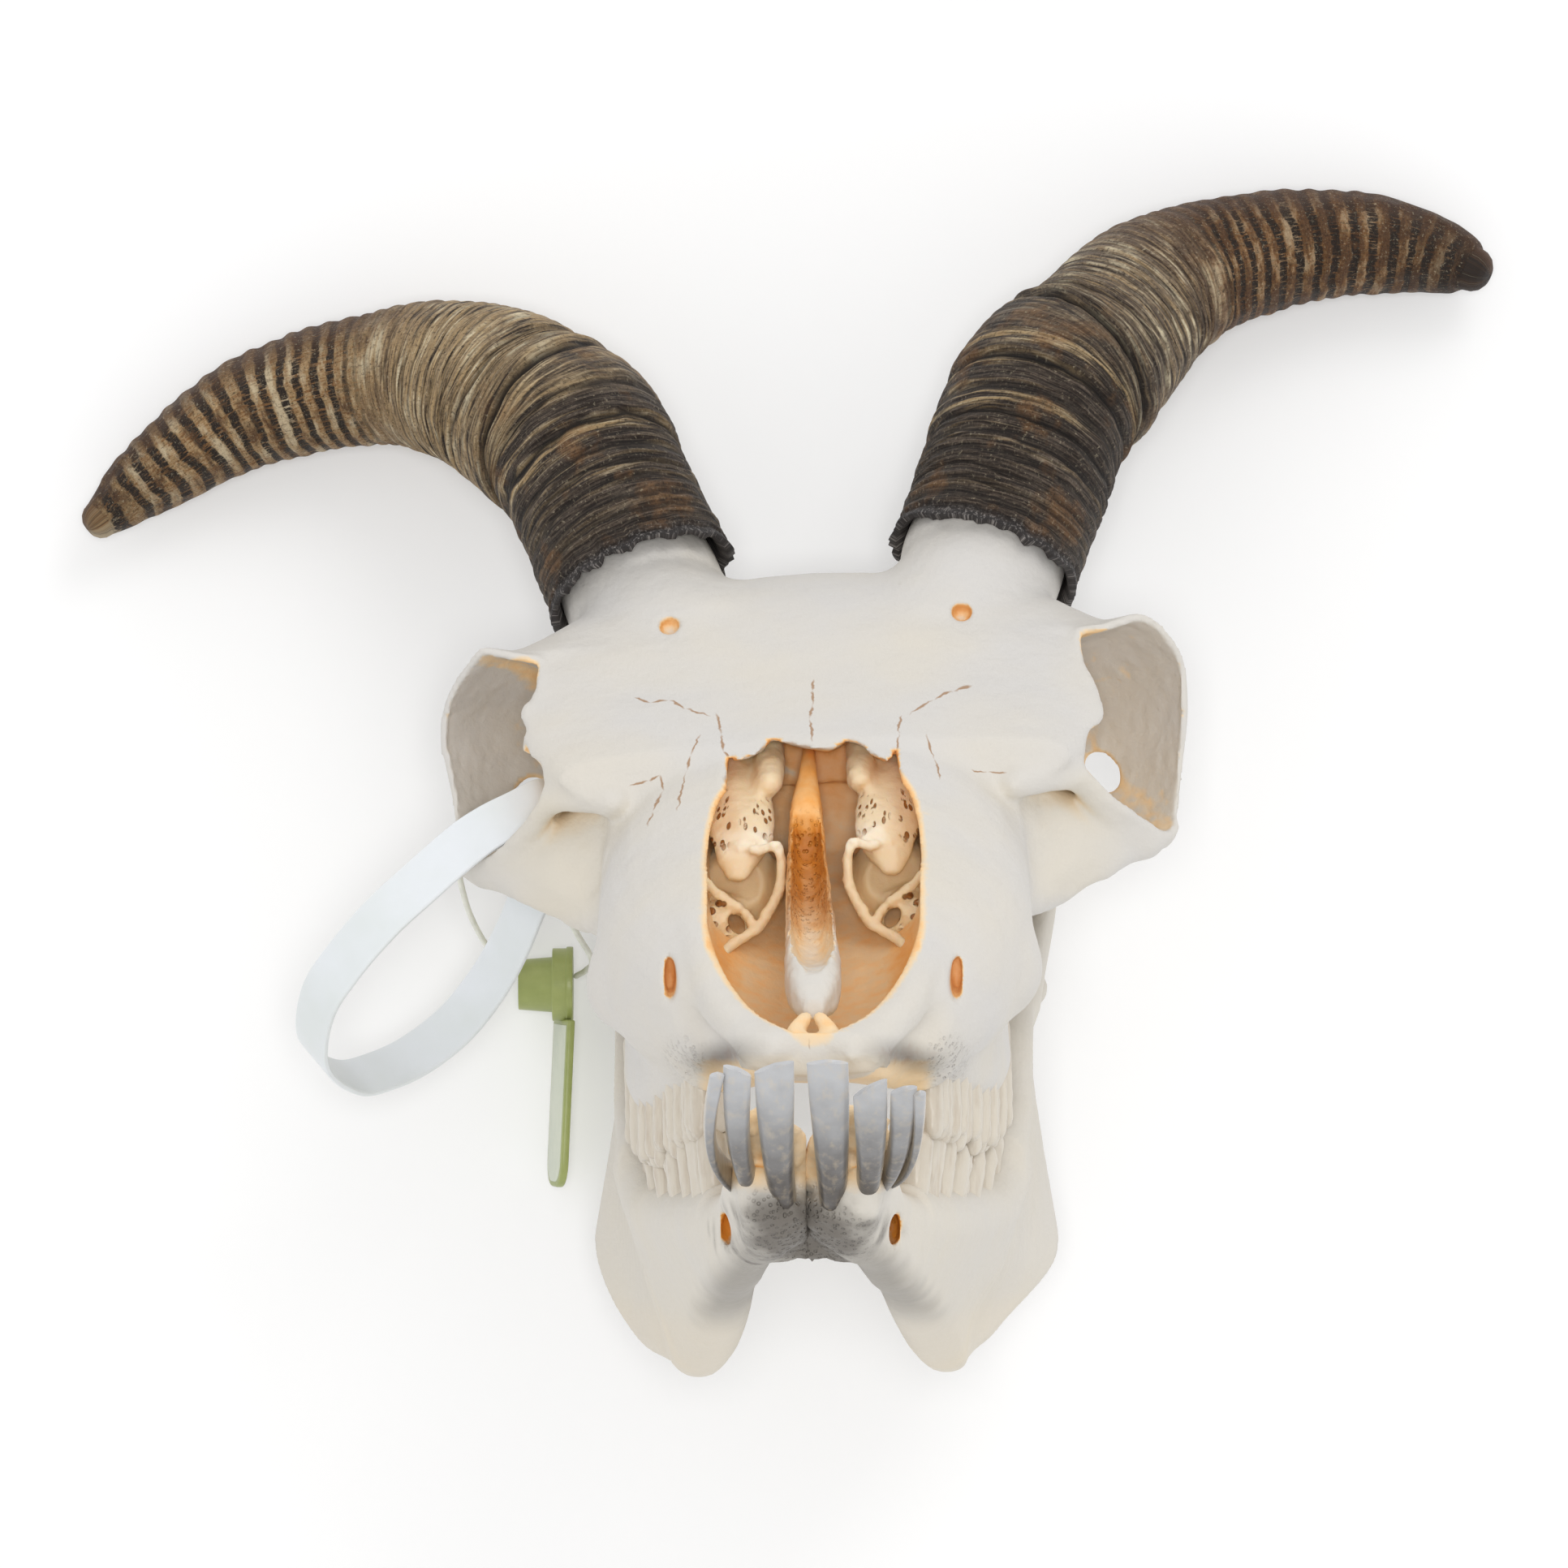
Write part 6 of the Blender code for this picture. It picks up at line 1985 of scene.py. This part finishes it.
@dataclass
class Strap:
    """The flat moulded strap round the cheek bone."""

    width: float = 9.0
    thick: float = 1.0
    steps: int = 40
    across: int = 25
    edge: float = 0.03
    corner: float = 0.008
    grips: tuple[float, float] = (12.1, 14.1)
    grip_depth: float = 0.28
    grip_pitch: float = 2.0

    def _section(self) -> np.ndarray:
        """Rows of how far across the strap and how high each point of its section lies.

        Returns:
            One row for each point.
        """
        face = np.linspace(self.edge, 1 - self.edge, self.across)
        top = [(a, 0.5) for a in face]
        foot = [(a, -0.5) for a in face[::-1]]
        near, far = self.corner, 1 - self.corner
        return np.array([(near, 0.3), *top, (far, 0.3), (far, -0.3), *foot, (near, -0.3)])

    def model(self) -> bpy.types.Object:
        """Sweep the strap round its route.

        Returns:
            The strap as one object.
        """
        route = closed_route(BAND_ROUTE, self.steps)
        count = len(route)
        forward = unit(np.roll(route, -1, axis=0) - np.roll(route, 1, axis=0))
        outward = unit(np.cross(forward, BAND_AXIS))
        knot = np.arange(count) / self.steps
        across, up = self._section().T
        first, last = self.grips
        share = smoothstep(knot, first, first + 0.1) * smoothstep(-knot, -last, -last + 0.1)
        slant = knot[:, None] * 6.0 + across * 2.2
        rib = np.clip(np.sin(2 * np.pi * slant / self.grip_pitch) * 1.6 - 0.2, 0, 1)
        middle = smoothstep(across, 0.2, 0.26) * smoothstep(-across, -0.86, -0.8) * (up < -0.45)
        level = up * self.thick - self.grip_depth * rib * middle * share[:, None]
        side = (across * self.width)[:, None] * BAND_AXIS
        rings = route[:, None] + side + level[..., None] * outward[:, None]
        strap = object_from("band_seal", rings.reshape(-1, 3), side_quads(count, len(across)))
        turn_faces_out(strap)
        shade_smooth(strap, 40)
        return strap


@dataclass
class Tag:
    """The hollow button, its flange and the strip that hangs from it."""

    centre: Row = (-51.0, -37.0, 9.2)
    ends: tuple[float, float] = (-3.55, 6.5)
    radii: tuple[float, float] = (4.6, 5.1)
    wall: float = 1.1
    bore: float = 5.0
    collar: tuple[float, float] = (2.7, 6.7)
    flange: tuple[float, float] = (5.3, 7.0)
    edge: float = 0.25
    strip_size: Row = (1.4, 31.0, 13.0)
    face_size: Row = (0.5, 29.0, 10.6)
    face_offset: float = -0.62
    strip_overlap: float = 0.7
    strip_shift: float = 0.4
    strip_turn: float = math.radians(13)
    strip_lean: float = -0.045
    foot_round: float = 0.36
    edge_share: float = 0.28

    def button(self) -> bpy.types.Object:
        """The hollow button with its collar and flange, turned about its axis.

        Returns:
            The button as one object.
        """
        first, last = self.ends
        hole = self.radii[0] - self.wall
        profile = [(first + self.bore, 0.0), (first + self.bore, hole), (first, hole),
                   (first, self.radii[0]), (self.collar[0], self.radii[1]), self.collar,
                   (self.flange[0], self.collar[1]), self.flange, (last, self.flange[1]), (last, 0.0)]
        centre = (np.array(self.centre) + FRAME_SHIFT) * MM
        mesh = bpy.data.meshes.new("tag_button")
        edges = [(i, i + 1) for i in range(len(profile) - 1)]
        mesh.from_pydata([tuple(centre + np.array((a, r, 0)) * MM) for a, r in profile], edges, [])
        button = link_object("tag_button", mesh)
        make_active(button)
        bpy.ops.object.mode_set(mode="EDIT")
        bpy.ops.mesh.select_all(action="SELECT")
        bpy.ops.mesh.spin(steps=64, angle=2 * math.pi, center=tuple(centre), axis=X_AXIS)
        bpy.ops.mesh.select_all(action="SELECT")
        bpy.ops.mesh.remove_doubles(threshold=0.00001)
        bpy.ops.object.mode_set(mode="OBJECT")
        turn_faces_out(button)
        soften(button, self.edge * MM, 40)
        return button

    def _bar(self, name: str, size: Row, offset: float) -> bpy.types.Object:
        """A flat bar that hangs from the button.

        Args:
            name: the bar's name.
            size: its thickness, length and width.
            offset: how far it lies from the strip's middle plane.

        Returns:
            The bar, with its lower corners and its edges rounded.
        """
        hang = self.flange[1] + self.strip_size[1] / 2 - self.strip_overlap
        along = self.flange[0] - self.strip_shift + hang * self.strip_lean * 0.7
        middle = Vector(np.array(self.centre) + (along, -hang, 0) + FRAME_SHIFT)
        lean = Vector((math.cos(self.strip_turn), 0, -math.sin(self.strip_turn)))
        deselect()
        bpy.ops.mesh.primitive_cube_add(size=1.0, location=(middle + lean * offset) * MM,
                                        rotation=(0, self.strip_turn, self.strip_lean))
        bar = bpy.context.active_object
        bar.name = bar.data.name = name
        bar.scale = [s * MM for s in size]
        bpy.ops.object.transform_apply(location=True, rotation=True, scale=True)
        self._round_foot(bar, size)
        return bar

    def strip(self) -> bpy.types.Object:
        """The green strip."""
        return self._bar("tag_strip", self.strip_size, 0.0)

    def face(self) -> bpy.types.Object:
        """The pale inset on the strip's face."""
        return self._bar("tag_strip_face", self.face_size, self.face_offset)

    def _round_foot(self, bar: bpy.types.Object, size: Row) -> None:
        """Round a bar's lower corners, then soften all its edges.

        Args:
            bar: the bar.
            size: its thickness, length and width.
        """
        make_active(bar)
        low = min(v.co.y for v in bar.data.vertices)
        bpy.ops.object.mode_set(mode="EDIT")
        bpy.ops.mesh.select_mode(type="EDGE")
        bpy.ops.mesh.select_all(action="DESELECT")
        bpy.ops.object.mode_set(mode="OBJECT")
        for edge in bar.data.edges:
            ends = [bar.data.vertices[i].co for i in edge.vertices]
            thin = (ends[0] - ends[1]).length < 1.2 * size[0] * MM
            edge.select = thin and all(abs(end.y - low) < MM for end in ends)
        bpy.ops.object.mode_set(mode="EDIT")
        bpy.ops.mesh.bevel(offset=self.foot_round * size[2] * MM, segments=8)
        bpy.ops.object.mode_set(mode="OBJECT")
        soften(bar, self.edge_share * size[0] * MM, 50)


CORD_ROUTE = (
    (-43.9, -35.4, 9.8), (-42.0, -34.2, 12.5), (-40.9, -32.0, 20.0), (-44.5, -24.0, 44.0),
    (-47.5, -9.0, 62.0), (-57.0, -4.5, 72.0), (-63.5, -12.0, 68.0), (-63.2, -21.0, 50.0),
    (-60.4, -28.8, 28.0), (-57.2, -32.4, 14.0), (-54.0, -34.6, 9.4),
)


@dataclass
class Cord:
    """The thin cord that holds the tag to the cheek bone."""

    radius: float = 0.55

    def model(self) -> bpy.types.Object:
        """A round cord along its route.

        Returns:
            The cord as one object.
        """
        path = [(*point, self.radius) for point in spline(CORD_ROUTE, 12)]
        cord = object_from("tag_cord", *limb(path, (0.2, 0.3, 0.9), steps=1).mesh())
        turn_faces_out(cord)
        cord.data.shade_smooth()
        return cord


# --- Studio ------------------------------------------------------------------------
WHITE = (1.0, 1.0, 1.0, 1.0)


@dataclass(frozen=True)
class Studio:
    """Floor, sky, lamps and the camera over the nose."""

    eye: Row = (-0.00102, -0.00107, 2.0)
    lens: float = 247.8
    target: Row = (0.0, 0.0, 0.1)
    floor_half: float = 3.0
    floor_tone: Row = (0.80, 0.80, 0.80, 1.0)
    floor_glow: float = 0.17
    sky: tuple[float, float] = (1.02, 0.66)

    def camera(self) -> None:
        """Look straight down from above."""
        data = bpy.data.cameras.new("camera")
        data.lens, data.sensor_width, data.clip_end = self.lens, 36.0, 20.0
        camera = link_object("camera", data)
        camera.location = self.eye
        bpy.context.scene.camera = camera

    def floor(self) -> None:
        """A pale floor under the skull."""
        deselect()
        bpy.ops.mesh.primitive_plane_add(size=2 * self.floor_half, location=(0, 0, 0))
        floor = bpy.context.active_object
        floor.name = "floor"
        made = Recipe("floor", Roughness=0.9, Base_Color=self.floor_tone, Emission_Color=WHITE,
                      Emission_Strength=self.floor_glow)
        floor.data.materials.append(made.material)

    def lamp(self, name: str, place: Row, size: float, power: float) -> None:
        """A square soft lamp aimed at the skull.

        Args:
            name: the lamp's name.
            place: where it stands.
            size: its width in metres.
            power: its power in watts.
        """
        data = bpy.data.lights.new(name, "AREA")
        data.shape, data.size, data.energy = "SQUARE", size, power
        lamp = link_object(name, data)
        lamp.location = place
        lamp.rotation_euler = (Vector(self.target) - Vector(place)).to_track_quat("-Z", "Y").to_euler()

    def world(self) -> None:
        """A white sky, brighter near the ground than overhead."""
        world = bpy.data.worlds.new("sky")
        bpy.context.scene.world = world
        world.use_nodes = True
        nodes, links = world.node_tree.nodes, world.node_tree.links
        background = nodes["Background"]
        background.inputs["Color"].default_value = WHITE
        way = nodes.new("ShaderNodeTexCoord")
        parts = nodes.new("ShaderNodeSeparateXYZ")
        light = nodes.new("ShaderNodeMapRange")
        light.inputs["To Min"].default_value, light.inputs["To Max"].default_value = self.sky
        links.new(way.outputs["Generated"], parts.inputs["Vector"])
        links.new(parts.outputs["Z"], light.inputs["Value"])
        links.new(light.outputs["Result"], background.inputs["Strength"])

    def build(self) -> None:
        """Set up the whole studio."""
        self.world()
        self.floor()
        self.lamp("key", (0.8, 1.5, 1.9), 1.0, 9.0)
        self.lamp("front", (0.0, 0.0, 2.4), 0.4, 15.0)
        self.camera()
        bpy.context.scene.view_settings.view_transform = "Standard"


def finish_piece(piece: bpy.types.Object, material: bpy.types.Material, slot: str, *nodes: str) -> None:
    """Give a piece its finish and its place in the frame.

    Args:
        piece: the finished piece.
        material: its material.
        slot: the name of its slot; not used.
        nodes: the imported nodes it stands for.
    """
    piece.data.materials.append(material)
    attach(piece, "root")
    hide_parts(*nodes)
    LOG.info("%s: %d faces", piece.name, len(piece.data.polygons))


def main() -> None:
    """Build the skull piece by piece, then the studio."""
    logging.basicConfig(level=logging.INFO, format="%(name)s %(message)s")
    bone, nose_bone = BoneFinish().material(), ConchaFinish().material()
    horn = HornFinish("horn", bright=1.0).material()
    dark_horn = HornFinish("horn_dark", dusk=0.6).material()
    # The front teeth's dark root tone stands partly for painted shade.
    cheek_tooth, front_tooth = (finish.material() for finish in (
        ToothFinish("cheek_tooth", rgb(208, 200, 186), rgb(206, 189, 162), rgb(140, 106, 70)),
        ToothFinish("front_tooth", rgb(186, 187, 189), rgb(84, 79, 75), rgb(214, 194, 160), 0.3)))
    strap, cord, tag, face = (finish.material() for finish in (
        PlasticFinish("strap", rgb(224, 228, 232), rgb(216, 221, 220), 0.36, 0.22, 18.0),
        PlasticFinish("cord", rgb(226, 226, 214), rgb(206, 206, 194), 0.4, 0.4),
        PlasticFinish("tag", rgb(158, 166, 100), rgb(142, 152, 86), 0.36),
        PlasticFinish("tag_face", rgb(206, 210, 192), rgb(196, 202, 184), 0.42)))
    finish_piece(Cranium().model(), bone, "bone", "braincase", "brow_left", "brow_right",
                 "upper_jaw_left", "upper_jaw_right")
    for side in Side:
        finish_piece(CheekTeeth(side, True).model(), cheek_tooth, "enamel", "upper_jaw_" + side.word)
        finish_piece(LowerJaw(side).model(), bone, "bone", "lower_jaw_" + side.word)
        finish_piece(CheekTeeth(side, False).model(), cheek_tooth, "enamel", "lower_jaw_" + side.word)
        finish_piece(Concha(side).model(), nose_bone, "bone", "concha_" + side.word)
    finish_piece(Incisors().model(), front_tooth, "enamel", "lower_jaw_left", "lower_jaw_right")
    finish_piece(Vomer().model(), bone, "bone", "vomer")
    finish_piece(Horn(Side.RIGHT, HORN_RIGHT, STEPS_RIGHT, 3).model(), horn, "horn", "horn_right")
    finish_piece(Horn(Side.LEFT, HORN_LEFT, STEPS_LEFT, 8).model(), dark_horn, "horn", "horn_left")
    finish_piece(Strap().model(), strap, "strap", "band_seal")
    finish_piece(Tag().button(), tag, "tag", "tag_button")
    finish_piece(Tag().strip(), tag, "tag", "tag_strip")
    finish_piece(Tag().face(), face, "tag_face", "tag_strip")
    finish_piece(Cord().model(), cord, "strap", "tag_cord")
    Studio().build()


if __name__ == "__main__":
    main()
